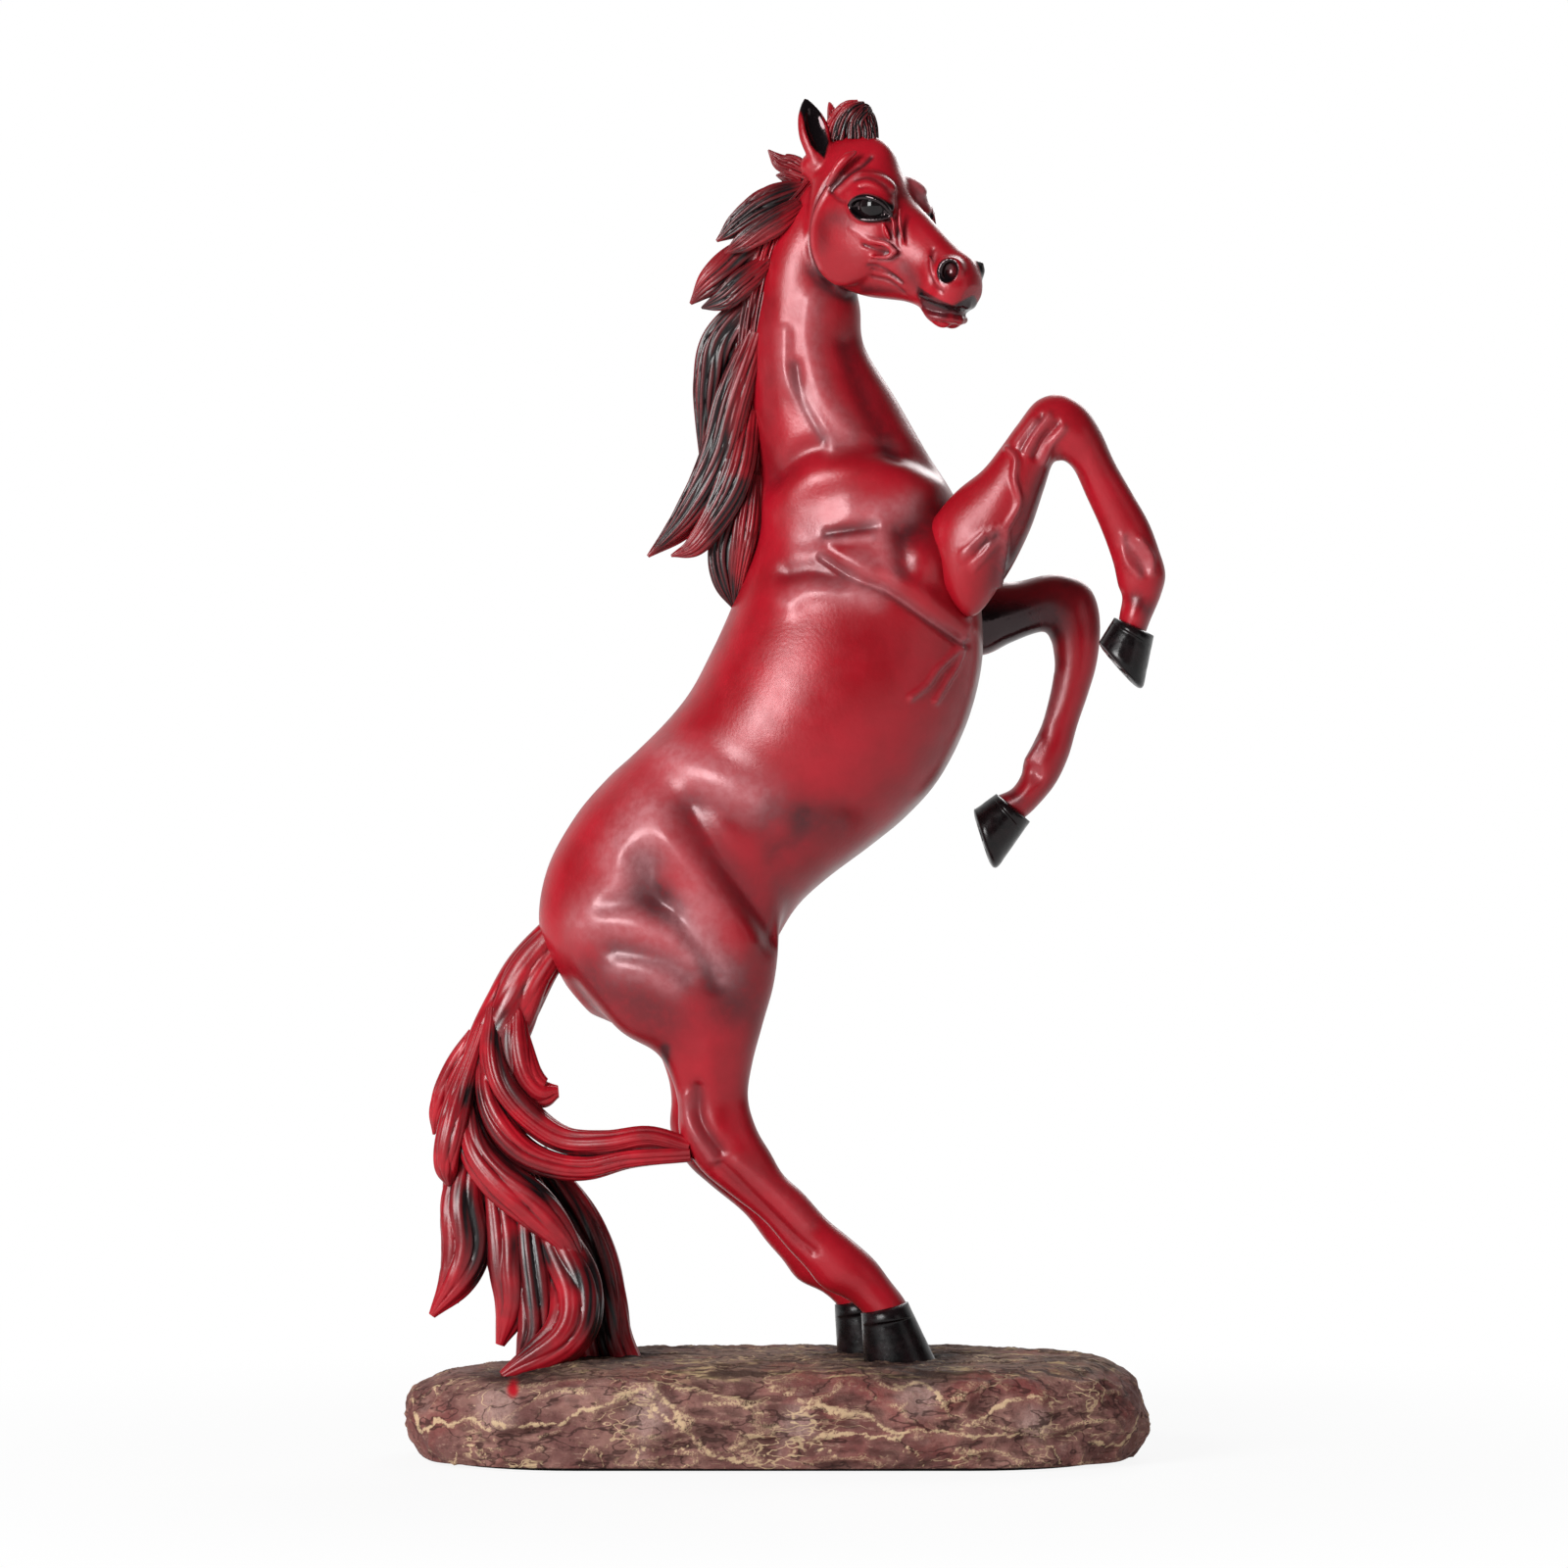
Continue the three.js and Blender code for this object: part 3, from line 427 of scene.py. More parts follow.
def to_head(points):
    return (points - POLL) @ TURN.T


SKULL = [
    rib([6, -12], [1, 5], 6.2),
    rib([9, -17], [3.5, 9.5], 8.5, 0, -0.2),
    rib([14.5, -21.4], [9, 12.2], 10.2, 0, -0.32),
    rib([20, -22.4], [15.2, 11.9], 10.4, 0, -0.34),
    rib([26, -21.6], [20.2, 7.9], 9.8, 0, -0.2),
    rib([31.5, -19.8], [26.4, 3.8], 8.1),
    rib([36.5, -18.2], [32.5, 1.9], 6.5),
    rib([41, -17.8], [38, 0.2], 5.7),
    rib([45, -19.4], [43.4, -1.2], 6),
    rib([48.4, -18.8], [47.8, -1.9], 5.6),
    rib([50.9, -15.4], [51.0, -4.2], 5.0),
    rib([52.4, -12.4], [52.5, -6.8], 3.8),
]


def model_head():
    """The head and ears, sculpted in the head's own frame."""
    clay = Clay((-17, -21, -27), (58, 17, 26), HEAD_GRID, 3.2)
    clay.add(loft(SKULL, 10, 72), 0.5)
    both = (-1, 1)

    def roll(points, radii, soft=0.6, cut=False):
        for hand in both:
            clay.roll([(u, hand * w, v) for u, v, w in points], radii, soft, cut)

    def lump(centre, radii, soft=0.6, cut=False, turn=0.0):
        u, v, w = centre
        for hand in both:
            clay.lump((u, hand * w, v), radii, soft, cut, turn)

    # round plate of the cheek, and the brow over the eye
    lump((19.6, -9.2, 7.4), (10.2, 3.6, 12.2), 1.2)
    lump((1.4, 0.4, 4.6), (3.4, 3.4, 3.4), 2.2)
    lump((19.4, 3.0, 6.2), (7.0, 3.8, 3.6), 1.2, turn=0.25)
    lump((21.6, 0.2, 7.2), (6.8, 4.2, 4.2), 1.2)
    # eye: its opening, lids, and the folds round it
    lump((23.8, -0.9, 10.6), (5.0, 2.1, 2.7), 0.5, cut=True, turn=0.26)
    lump((28.2, -2.0, 10.2), (1.6, 1.6, 0.9), 0.5, cut=True)
    roll([(18.2, -2.8, 10.1), (19.9, -0.2, 10.9), (22.7, 1.5, 11.0), (26.0, 1.8, 10.0), (28.8, 0.4, 8.5)],
         [0.4, 0.6, 0.75, 0.65, 0.4], 0.35)
    roll([(18.2, -3.0, 10.1), (20.6, -3.9, 10.6), (23.8, -3.7, 10.6), (27.0, -2.2, 9.5), (29.0, -0.4, 8.3)],
         [0.4, 0.55, 0.65, 0.55, 0.4], 0.35)
    roll([(18.6, -4.4, 9.9), (21.4, -6.0, 10.0), (24.6, -6.2, 9.7)], [0.25, 0.4, 0.25], 0.4)
    roll([(19.3, 2.4, 10.3), (22.0, 4.0, 10.5), (25.4, 4.0, 10.0), (28.3, 2.0, 9.0)],
         [0.3, 0.45, 0.45, 0.2], 0.5, cut=True)
    # hollow of the temple, with the fold that hangs over it
    roll([(13.4, 8.9, 8.4), (14.9, 6.8, 9.2), (13.6, 3.6, 9.9), (11.6, -1.6, 10.0)],
         [0.6, 1.2, 1.0, 0.4], 0.4, cut=True)
    roll([(12.8, 8.8, 7.8), (12.0, 6.8, 9.2), (11.2, 3.6, 10.0), (10.8, -0.6, 10.3)],
         [0.5, 1.1, 1.1, 0.5], 0.4)
    # crest of the face: a fold bent forward like an arrowhead
    roll([(21.5, -7.6, 10.3), (26.6, -7.6, 9.8), (31.0, -6.6, 9.0), (33.6, -7.4, 8.2)],
         [0.3, 0.55, 0.7, 0.6], 0.5)
    roll([(33.6, -7.4, 8.2), (32.3, -9.2, 8.7), (28.6, -10.9, 9.4)], [0.65, 0.6, 0.3], 0.45)
    roll([(26.0, -9.0, 10.0), (29.5, -8.6, 9.4), (31.6, -8.2, 8.9)], [0.2, 0.45, 0.35], 0.4, cut=True)
    # wrinkles before the eye
    roll([(29.4, 2.2, 7.0), (31.4, -1.2, 7.0), (34.0, -4.8, 6.7)], [0.3, 0.55, 0.3], 0.5)
    roll([(28.8, 0.2, 8.0), (30.6, -2.6, 7.8), (32.2, -5.2, 7.4)], [0.3, 0.5, 0.3], 0.4)
    roll([(28.2, -2.8, 8.5), (29.8, -4.4, 8.2), (31.0, -5.6, 7.9)], [0.3, 0.5, 0.3], 0.4)
    roll([(30.6, 2.2, 6.8), (32.6, -1.2, 6.9), (34.8, -4.2, 6.6)], [0.2, 0.4, 0.2], 0.35, cut=True)
    # muzzle and nostril
    lump((47.9, -9.8, 0), (4.3, 6.2, 5.4), 1.4)
    lump((47.0, -5.4, 4.2), (3.5, 3.0, 3.0), 1.2, turn=0.4)
    lump((48.0, -5.4, 7.2), (2.5, 2.9, 2.8), 0.5, cut=True, turn=0.4)
    roll([(50.2, -8.4, 4.9), (47.6, -8.8, 5.9), (45.8, -6.2, 6.3), (46.4, -3.6, 5.8), (48.8, -2.6, 4.8)],
         [0.3, 0.6, 0.7, 0.5, 0.3], 0.5)
    roll([(41.0, -4.4, 5.8), (44.0, -7.6, 6.1), (48.0, -9.6, 5.8)], [0.4, 0.7, 0.4], 0.8)
    # lips
    roll([(42.4, -14.0, 5.0), (46.4, -13.0, 5.4), (49.6, -12.2, 4.7), (51.3, -12.0, 3.2), (52.0, -12.0, 0)],
         [0.5, 0.8, 0.9, 0.9, 0.9], 0.8)
    roll([(44.2, -16.8, 4.6), (47.0, -17.2, 4.8), (49.6, -16.6, 4.2), (51.2, -16.0, 2.8), (51.8, -16.0, 0)],
         [0.4, 0.8, 0.9, 0.9, 0.9], 0.9)
    roll([(41.0, -14.4, 6.2), (45.2, -14.9, 6.6), (49.0, -14.3, 5.6), (52.0, -14.0, 4.0), (53.6, -14.0, 0)],
         [0.4, 0.6, 0.65, 0.65, 0.6], 0.3, cut=True)
    lump((48.2, -16.6, 1.8), (3.2, 1.6, 2.7), 0.9)
    # wrinkles of the jaw
    for k in range(3):
        roll([(29.0 + k, -13.6 - 1.6 * k, 7.6 - 0.6 * k), (34.0 + k, -13.2 - 1.4 * k, 6.2 - 0.5 * k),
              (38.5, -14.0 - k, 4.9 - 0.5 * k)], [0.3, 0.6, 0.3], 0.3, cut=True)
    ears(clay)
    clay.smooth(1)
    return clay


def ear_axes(hand):
    """Foot of an ear, and the ways up it and out of its hollow side."""
    up = np.array([-math.sin(EAR_LEAN), 0, math.cos(EAR_LEAN)])
    out = unit(np.array([0.825 * math.cos(EAR_LEAN), hand * 0.565, 0.825 * math.sin(EAR_LEAN)]))
    return np.array([3.8, hand * 5.2, 1.5]), up, out


def ears(clay):
    """Pointed leaves that lean back, hollow on the outer side."""
    for hand in (-1, 1):
        base, up, out = ear_axes(hand)
        share = [(0, 0.62), (0.2, 0.86), (0.45, 1), (0.7, 0.82), (0.88, 0.45), (1, 0.06)]
        ribs = []
        scoop = []
        for t, wide in share:
            centre = base + up * 17.2 * t + out * (0.4 - 1.2 * t)
            ribs.append([*(centre - out * 2.3 * wide), *(centre + out * 2.3 * wide), 3.9 * wide, 0])
            inner = base + up * (3 + 13 * t) + out * (2.5 - 1.4 * t)
            scoop.append([*(inner - out * 1.9 * wide), *(inner + out * 1.9 * wide), 2.7 * wide, 0])
        clay.add(loft(ribs, 6, 32), 0.8)
        cut = clay.distances(loft(scoop, 6, 32))
        clay.values = -blend_min(-clay.values, cut, 0.4)


# Relief and airbrush of the skin, on both sides alike. Each row is a line of [x, z] points, how far
# it reaches to either side, how far the skin rises there, and how much dark or pale paint it has.

# The pale paint is partly dry-brush and partly painted highlight on lit ridges.
SKIN = [
    # hip and thigh
    ([(-28.8, 128.4), (-31.8, 123.2), (-34.3, 117.5)], 5.2, 1.5, 0, 0.9),
    ([(-34.3, 117.5), (-36.3, 110.7), (-39.7, 107.3)], 4.4, 0.9, 0, 0.6),
    ([(-26, 123), (-18.6, 114.1), (-14.5, 105.9)], 4.2, 1, 0, 0.5),
    ([(-29.5, 115.9), (-29.3, 111.8), (-26.5, 107.6)], 3.7, -2.4, 0.9, 0),
    ([(-39.1, 105.9), (-34.1, 107.3), (-29.3, 108), (-24.1, 105.2)], 2.6, -1.2, 0.6, 0),
    ([(-43.1, 102.6), (-39.1, 103), (-34.3, 102.4), (-26.1, 100), (-18.6, 95.2)], 4, 1.4, 0, 0.85),
    ([(-36.3, 95.7), (-30.9, 94.8), (-24.7, 93), (-20.6, 90.2)], 2.6, -1.1, 0.7, 0),
    ([(-36, 92.4), (-29.5, 91.4), (-23.2, 88.8)], 3, 0.7, 0, 0.85),
    ([(-41.1, 89.6), (-34.1, 85.7), (-26.1, 80.7)], 6, -0.5, 0.7, 0),
    ([(-20, 129.1), (-16.8, 124.1), (-13.2, 118.9), (-5, 107.3), (-0.2, 99.1)], 3.2, -1.7, 0.5, 0),
    ([(-23.5, 121), (-13.2, 108), (-6.3, 98.5)], 4.4, 1.5, 0, 0),
    ([(-22.7, 105.2), (-18.6, 98.4), (-15.4, 93.7), (-13.2, 88.9)], 2.3, -1.2, 0.7, 0),
    ([(-21, 106), (-15, 97.5), (-11, 90.5)], 3.2, 0.5, 0, 0.7),
    ([(-9.1, 88.2), (-8.6, 84)], 5.5, -0.7, 0.8, 0),
    # flank
    ([(-22.5, 140), (-14, 136.2), (-4.5, 131.4)], 4.6, 1.4, 0, 1),
    ([(1, 129), (8, 126.4), (16, 125.4)], 3.8, -0.6, 0.5, 0),
    ([(7.3, 126.4), (5.7, 121.4), (0.2, 118.2)], 2.4, -0.6, 0.4, 0),
    ([(-17.6, 130.5), (-10.4, 127.7), (-2.2, 125)], 3.2, -0.6, 0.3, 0),
    # neck
    ([(8.7, 247.1), (8, 238), (11, 225.7), (17.1, 216.5)], 2.6, 1.1, 0, 0.7),
    ([(2.5, 239.8), (3, 230), (7.3, 222.7), (13.5, 213.6)], 1.8, 0.9, 0, 0.7),
    ([(5, 232), (6.2, 224.8), (11.5, 215.2)], 1.3, -0.9, 0.7, 0),
    ([(17.1, 236.8), (20.8, 225.9), (28.1, 211.7)], 2.6, -0.7, 0.6, 0),
    ([(-1.6, 247.1), (-1.6, 225.9), (-1.2, 205.6)], 2.2, -0.3, 0.3, 0),
    # shoulder
    ([(0.5, 206.5), (9, 212.5), (26.5, 212.5), (37.7, 208.8)], 2.6, -1.3, 0.3, 0),
    ([(0.5, 199), (10, 205.5), (26, 206.5), (36, 203)], 4.2, 1.4, 0, 0),
    ([(18, 198.6), (24, 198.2), (31, 199)], 2.8, 0.5, 0, 0.8),
    ([(12.3, 192.6), (17.7, 193.6), (23.2, 194.4)], 1.4, -0.9, 0.8, 0),
    ([(12.7, 190.8), (22.5, 191.5)], 0.9, 0.5, 0, 1),
    ([(24.3, 196), (25.7, 188.8), (27.2, 183)], 2.2, 0.5, 0, 0.6),
    ([(8, 191.1), (8.6, 191)], 3.4, -0.6, 0.3, 0.8),
    ([(19.7, 186.6), (22, 185.6)], 2.6, 0.3, 0, 0.7),
    ([(10.9, 187.3), (19.5, 181.9), (26.8, 178.9), (35.9, 172.8), (44.5, 167.3)], 1, -1.3, 0.4, 0.5),
    ([(13, 189.3), (21, 184.6), (28.5, 181.9), (37, 176.3), (44.5, 171.3)], 2.4, 1.2, 0, 0),
    ([(3.7, 176.4), (7.3, 178.7), (14.6, 179.2), (23.2, 177.6)], 2.4, 0.9, 0, 0.9),
    ([(3, 183.6), (9, 184.4), (15.5, 182)], 2.6, -1.2, 0.5, 0),
    ([(34.8, 187), (35.4, 186.4)], 5.4, 2.4, 0, 0),
    ([(37, 197.9), (33.5, 195)], 4.2, -1, 0.8, 0),
    ([(29.5, 192.5), (30.3, 184)], 2.2, -1.1, 0.6, 0),
    # belly veins
    ([(44.5, 168.1), (42.6, 162.5), (40.2, 158.5), (37.5, 153.8)], 0.8, 0.8, 0.2, 0.2),
    ([(43, 166.1), (38, 161.1), (35.5, 157.5), (31.8, 154.5)], 0.8, 0.8, 0.2, 0.2),
    # hock and cannon
    # painted shadow: a dark line down the hock's back edge, where the far hind leg shows in shade
    ([(-25.4, 73), (-25, 64), (-24, 54)], 1, 0, 1, 0),
    ([(-20.5, 62), (-19.5, 55.5), (-14.5, 47.5)], 1.4, 0.8, 0.2, 0.3),
    ([(-17.6, 64), (-17, 56.5), (-12.5, 49.5)], 1.4, -0.9, 0.6, 0),
    ([(-12, 46), (-4, 38), (4, 30), (9, 26)], 1.3, -0.8, 0.3, 0),
    ([(-8, 47), (0.5, 40), (8, 32.5)], 1.6, 0.5, 0, 0.2),
    ([(-15.5, 72), (-14.5, 62), (-13, 54)], 3, 0.5, 0, 0),
]


def to_path(flat, path):
    """How far each [x, z] is from the line through path."""
    points = spline(path, 6 * len(path)) if len(path) > 2 else np.array(path, float)
    best = np.full(len(flat), 1e9)
    for a, b in zip(points[:-1], points[1:]):
        d = b - a
        t = np.clip((flat - a) @ d / max(d @ d, 1e-9), 0, 1)
        best = np.minimum(best, np.linalg.norm(flat - a - t[:, None] * d, axis=1))
    return best


def marked(flat, facing, rows, margin=3):
    """Rise of the skin, dark and pale paint at each [x, z], from rows of marks that reach margin."""
    rise, dark, pale = np.zeros((3, len(flat)))
    for path, reach, lift, shade, glow in rows:
        low, high = np.min(path, axis=0) - margin * reach, np.max(path, axis=0) + margin * reach
        near = np.flatnonzero((facing > 0) & np.all((flat > low) & (flat < high), axis=1))
        far = to_path(flat[near], path) / reach
        for values, share, wide in ((rise, lift, 1), (dark, shade, 1.25), (pale, glow, 1.15)):
            values[near] += share * facing[near] * np.exp(-(far / wide) ** 2)
    return np.array([rise, dark, pale])


def marked_skin(points, normals):
    """As marked(), on both sides of the horse, with the left hind leg further back."""
    total = 0
    for hand in (-1, 1):
        facing = smoothstep(hand * normals[:, 1], 0.02, 0.5) * (hand * points[:, 1] > -1)
        flat = points[:, [0, 2]] + np.column_stack([lag(hand, points[:, 2]), np.zeros(len(points))])
        total = total + marked(flat, facing, SKIN)
    return total[0], *np.clip(total[1:], 0, 1)


THROAT = -23    # height in the head's frame where the fine mesh meets the coarse one
FINE_MARK = 1.7    # marks that reach less far need a finer skin


def horse():
    """The main casting as one mesh: a coarse one of the body joined to a fine one of the head."""
    body = Clay((-62, -34, -4), (60, 34, 300), BODY_GRID, 4.8)
    body.add(loft(TRUNK, 8, 96), 0.1)
    for hand in (-1, 1):
        body.add(hind_leg(hand), 4.5)
    body.smooth(2)
    head = model_head()
    own = head.values.copy()
    head.values = blend_min(own, body.at(from_head(head.places())), 2.0)
    at, place = body.near([(-20, -45, 236), (60, 20, 310)], 0)
    body.values[at] = blend_min(body.values[at], head.at(to_head(place), own), 2.0)
    whole = bmesh.new()
    up = TURN[2]
    on_cut = POLL + THROAT * up
    for clay, keep in ((body, -1), (head, 1)):
        points, quads, tris = clay.mesh()
        if keep > 0:
            points = from_head(points)
        part = bmesh_of(points, quads, tris)
        bmesh.ops.bisect_plane(part, geom=part.verts[:] + part.edges[:] + part.faces[:],
                               plane_co=on_cut + 0.25 * keep * up, plane_no=up,
                               clear_inner=keep > 0, clear_outer=keep < 0)
        data = bpy.data.meshes.new("part")
        part.to_mesh(data)
        part.free()
        whole.from_mesh(data)
        bpy.data.meshes.remove(data)
    rim = [e for e in whole.edges if e.is_boundary]
    bmesh.ops.bridge_loops(whole, edges=rim)
    fine = [path for path, reach, *_ in SKIN if reach < FINE_MARK]
    subdivide_near(whole, fine, 2.4)
    mesh = arrays_of(whole)
    whole.free()
    return mesh, body, head


def bmesh_of(points, quads, tris):
    data = mesh_data(points, quads, tris)
    made = bmesh.new()
    made.from_mesh(data)
    bpy.data.meshes.remove(data)
    return made


def subdivide_near(made, paths, reach):
    """Halves the edges that lie near one of the paths, seen from the side."""
    made.verts.ensure_lookup_table()
    places = np.array([v.co for v in made.verts])
    close = np.zeros(len(places), bool)
    for path in paths:
        low, high = np.min(path, axis=0) - reach, np.max(path, axis=0) + reach
        flat = places[:, [0, 2]]
        near = np.flatnonzero(np.all((flat > low) & (flat < high), axis=1))
        close[near] |= to_path(flat[near], path) < reach
    edges = [e for e in made.edges if close[e.verts[0].index] and close[e.verts[1].index]]
    bmesh.ops.subdivide_edges(made, edges=edges, cuts=1, use_grid_fill=True)


def arrays_of(made):
    bmesh.ops.triangulate(made, faces=[f for f in made.faces if len(f.verts) > 4])
    made.verts.index_update()
    points = np.array([v.co for v in made.verts])
    quads = [[v.index for v in f.verts] for f in made.faces if len(f.verts) == 4]
    tris = [[v.index for v in f.verts] for f in made.faces if len(f.verts) == 3]
    return points, np.array(quads).reshape(-1, 4), np.array(tris, int).reshape(-1, 3)


# Forelegs

RIGHT_FORELEG = [
    [[39, 183], [38, 197], 5.2, -3],
    [[45.5, 173.5], [43, 203], 7.7, 0],
    [[53, 181.5], [48.5, 207.5], 7.6, 2],
    [[59, 192.5], [52.5, 212.5], 7, 3],
    [[62.5, 202.5], [56.5, 218], 6.3, 3.5],
    [[64.5, 208.5], [61, 223.5], 6, 3.5],
    [[66.2, 209.6], [66.5, 225], 6, 3.5],
    [[68, 209.2], [71.5, 222.5], 5.7, 3.5],
    [[70, 207], [75.5, 217], 5.2, 3],
    [[72.5, 201.5], [79, 209.5], 4.6, 2.5],
    [[75.5, 195], [83, 202.5], 4.3, 2],
    [[77.5, 190], [87, 195.5], 4.4, 1.5],
    [[79, 185.5], [89.5, 189], 4.9, 1],
    [[80, 181], [91, 183.5], 5, 0.5],
    [[81, 178], [90, 178.5], 4.6, 0],
    [[80.5, 174.5], [87.5, 172.5], 4.8, 0],
    [[80, 171.5], [86, 168.5], 4, 0],
]
LEFT_FORELEG = [
    [[40, 166], [40, 179], 5.2, -3],
    [[49, 165], [50.5, 182], 7.3, 0],
    [[56, 168], [57.5, 182.5], 6.8, 1],
    [[61, 170], [64, 184], 6.3, 1.5],
    [[64, 170.5], [68.5, 184], 6, 1.5],
    [[65.5, 168.6], [73.4, 182.2], 6, 1.5],
    [[66.2, 165.6], [76.2, 178.2], 5.7, 1.5],
    [[66.4, 162], [77.2, 171.6], 5.2, 1.2],
    [[65.6, 156.6], [76.4, 163.4], 4.7, 1],
    [[63.8, 149.8], [74.4, 156.2], 4.4, 0.8],
    [[61.3, 144.2], [71.8, 148.6], 4.4, 0.5],
    [[59.2, 140.2], [69.6, 141], 4.9, 0.2],
    [[58.4, 136.6], [66.4, 134.4], 4.7, 0],
    [[56.2, 133.4], [61.8, 128.9], 4.8, 0],
    [[52.6, 131.7], [58.2, 125.7], 4, 0],
]
# Marks of the forelegs, as SKIN's rows; their pale is partly painted highlight on tendons, veins and
# fetlocks.
RIGHT_MARKS = [
    # tendons of the knee
    ([(60.4, 218.3), (58.2, 215.4), (56.6, 213.2)], 0.8, 0.7, 0, 0.4),
    ([(63.6, 219.7), (60.4, 215.4), (58.2, 211.8)], 0.8, 0.8, 0, 0.4),
    ([(66.9, 216.8), (64, 213.2), (62.2, 209.2)], 0.9, 0.8, 0, 0.4),
    ([(62.2, 219.6), (59, 215.2), (57.2, 212)], 0.6, -0.6, 0.6, 0),
    ([(65.6, 218), (62.2, 214.2), (60.2, 210.4)], 0.7, -0.8, 0.6, 0),
    # veins
    ([(54.2, 212.1), (56, 209.6), (55.6, 205.2), (56.6, 200.1), (54.9, 195.8), (53.1, 193.6),
      (48, 191.5), (43.7, 187.1)], 0.65, 1.3, 0, 0.3),
    ([(53.8, 192.9), (53.5, 190), (52.7, 184.2), (52.2, 181)], 0.6, 1.2, 0, 0.3),
    ([(52.4, 191.2), (48, 187.1), (45.9, 184.9)], 0.6, 1.2, 0, 0.3),
    ([(51.6, 192.3), (46.6, 188.8)], 0.7, -0.7, 0.5, 0),
    # fetlock
    ([(82, 190.5), (84.6, 187.5), (86.3, 184.4)], 1.6, -1.1, 0, 0.6),
    ([(80.8, 192), (81.6, 186.6), (84.6, 183)], 0.8, 0.6, 0, 0.3),
    ([(85, 191), (87.4, 187.4), (87.6, 183.6)], 0.8, 0.6, 0, 0.3),
    ([(84, 177.6), (86.5, 175)], 1.6, 0, 0.8, 0),
    ([(70.7, 206), (76.5, 195.3), (79.4, 187.3)], 1.4, -0.3, 0, 0),
    # painted shade along the underside of the forearm
    ([(64, 206), (60.4, 197), (57.2, 190), (53.4, 182)], 2.6, 0, 0.85, 0),
    ([(50.4, 190.6), (52.4, 186)], 3.2, 0, 0.4, 0),
]
# Dark near the body and along the far foreleg's edges is airbrush and painted shade; pale along its middle
# is painted highlight.
LEFT_MARKS = [
    ([(61.6, 137.2), (62, 136.4)], 1.4, -0.8, 0, 0.6),
    ([(63.1, 144.6), (60.1, 140.2)], 0.8, 0.6, 0, 0.4),
    ([(66, 160), (64.6, 149)], 1.6, 0.4, 0, 0.5),
    ([(46, 174), (52.7, 173.5), (64.5, 174.9)], 5, 0, 0.9, 0),
    ([(46, 168), (51.2, 167.1), (63.8, 170.8)], 3, 0, 1, 0),
    ([(56.4, 131.4), (57.6, 130.4)], 1.6, 0, 0.7, 0),
    ([(66.6, 163), (65.6, 156.6), (63.6, 149.5), (61, 143.5)], 2, 0, 0.6, 0),
    ([(70, 183), (74.5, 180), (76.4, 172)], 2.5, 0, 0.4, 0),
]
# black on the far upper arm near the body: airbrush and painted shadow of the body
LEFT_DARK_AND_SHADOW = [(42, 172.5), (50, 172.5), (57, 171)]
DARK_AND_SHADOW_REACH = 6


def foreleg(hand, rows, marks):
    """Skin of a foreleg from its ribs, with its marks as relief and paint."""
    ribs = [rib(back, front, wide, hand * (HALF_SHOULDERS + out)) for back, front, wide, out in rows]
    points, quads, tris = outward(loft(ribs, 12, 64))
    normals = normals_of((points, quads, tris))
    rise, dark, pale = marked_sides(points, normals, marks)
    points = points + normals * rise[:, None]
    return (points, quads, tris), dark, pale


def marked_sides(points, normals, rows):
    """As marked(), on a piece that shows the same marks on both sides."""
    facing = smoothstep(np.abs(normals[:, 1]), 0, 0.45)
    total = marked(points[:, [0, 2]], facing, rows, math.inf)
    return total[0], *np.clip(total[1:], 0, 1)


# Hooves, from heel and toe at the hairline to heel and toe of the sole

def hoof(heel_top, toe_top, heel_foot, toe_foot, y, blunt=0.0):
    """A horn wall with its hairline band and fine growth rings, and a sunken sole."""
    corners = [np.array(c, float) for c in (heel_top, toe_top, heel_foot, toe_foot)]
    wall = [(-0.06, 0.74), (-0.02, 0.88), (0.05, 0.95), (0.13, 0.96), (0.17, 0.89), (0.3, 0.91),
            (0.6, 0.955), (0.84, 0.985), (0.95, 0.93), (1, 0.8), (0.975, 0.74), (0.97, 0.3)]
    ribs = []
    for t, share in wall:
        heel = corners[0] + (corners[2] - corners[0]) * t
        toe = corners[1] + (corners[3] - corners[1]) * t
        toe = toe + (heel - toe) * blunt * max(0, (t - 0.8) / 0.2) ** 2
        middle = (heel + toe) / 2
        shrink = share / 0.97 if (t, share) in wall[-3:] else 1
        ribs.append(rib(middle + (heel - middle) * shrink, middle + (toe - middle) * shrink,
                        share * 7.4, y))
    mesh = loft(ribs, 6, 64)
    points, quads, tris = outward(mesh)
    normals = normals_of((points, quads, tris))
    grain = 0.03 * noise(points * np.array([3.0, 3.0, 0.5]), 2.2, 5) + 0.02 * noise(points, 1.4, 9)
    return points + normals * grain[:, None], quads, tris


# Hair: locks of fine strands along lines of [x, z, y] points

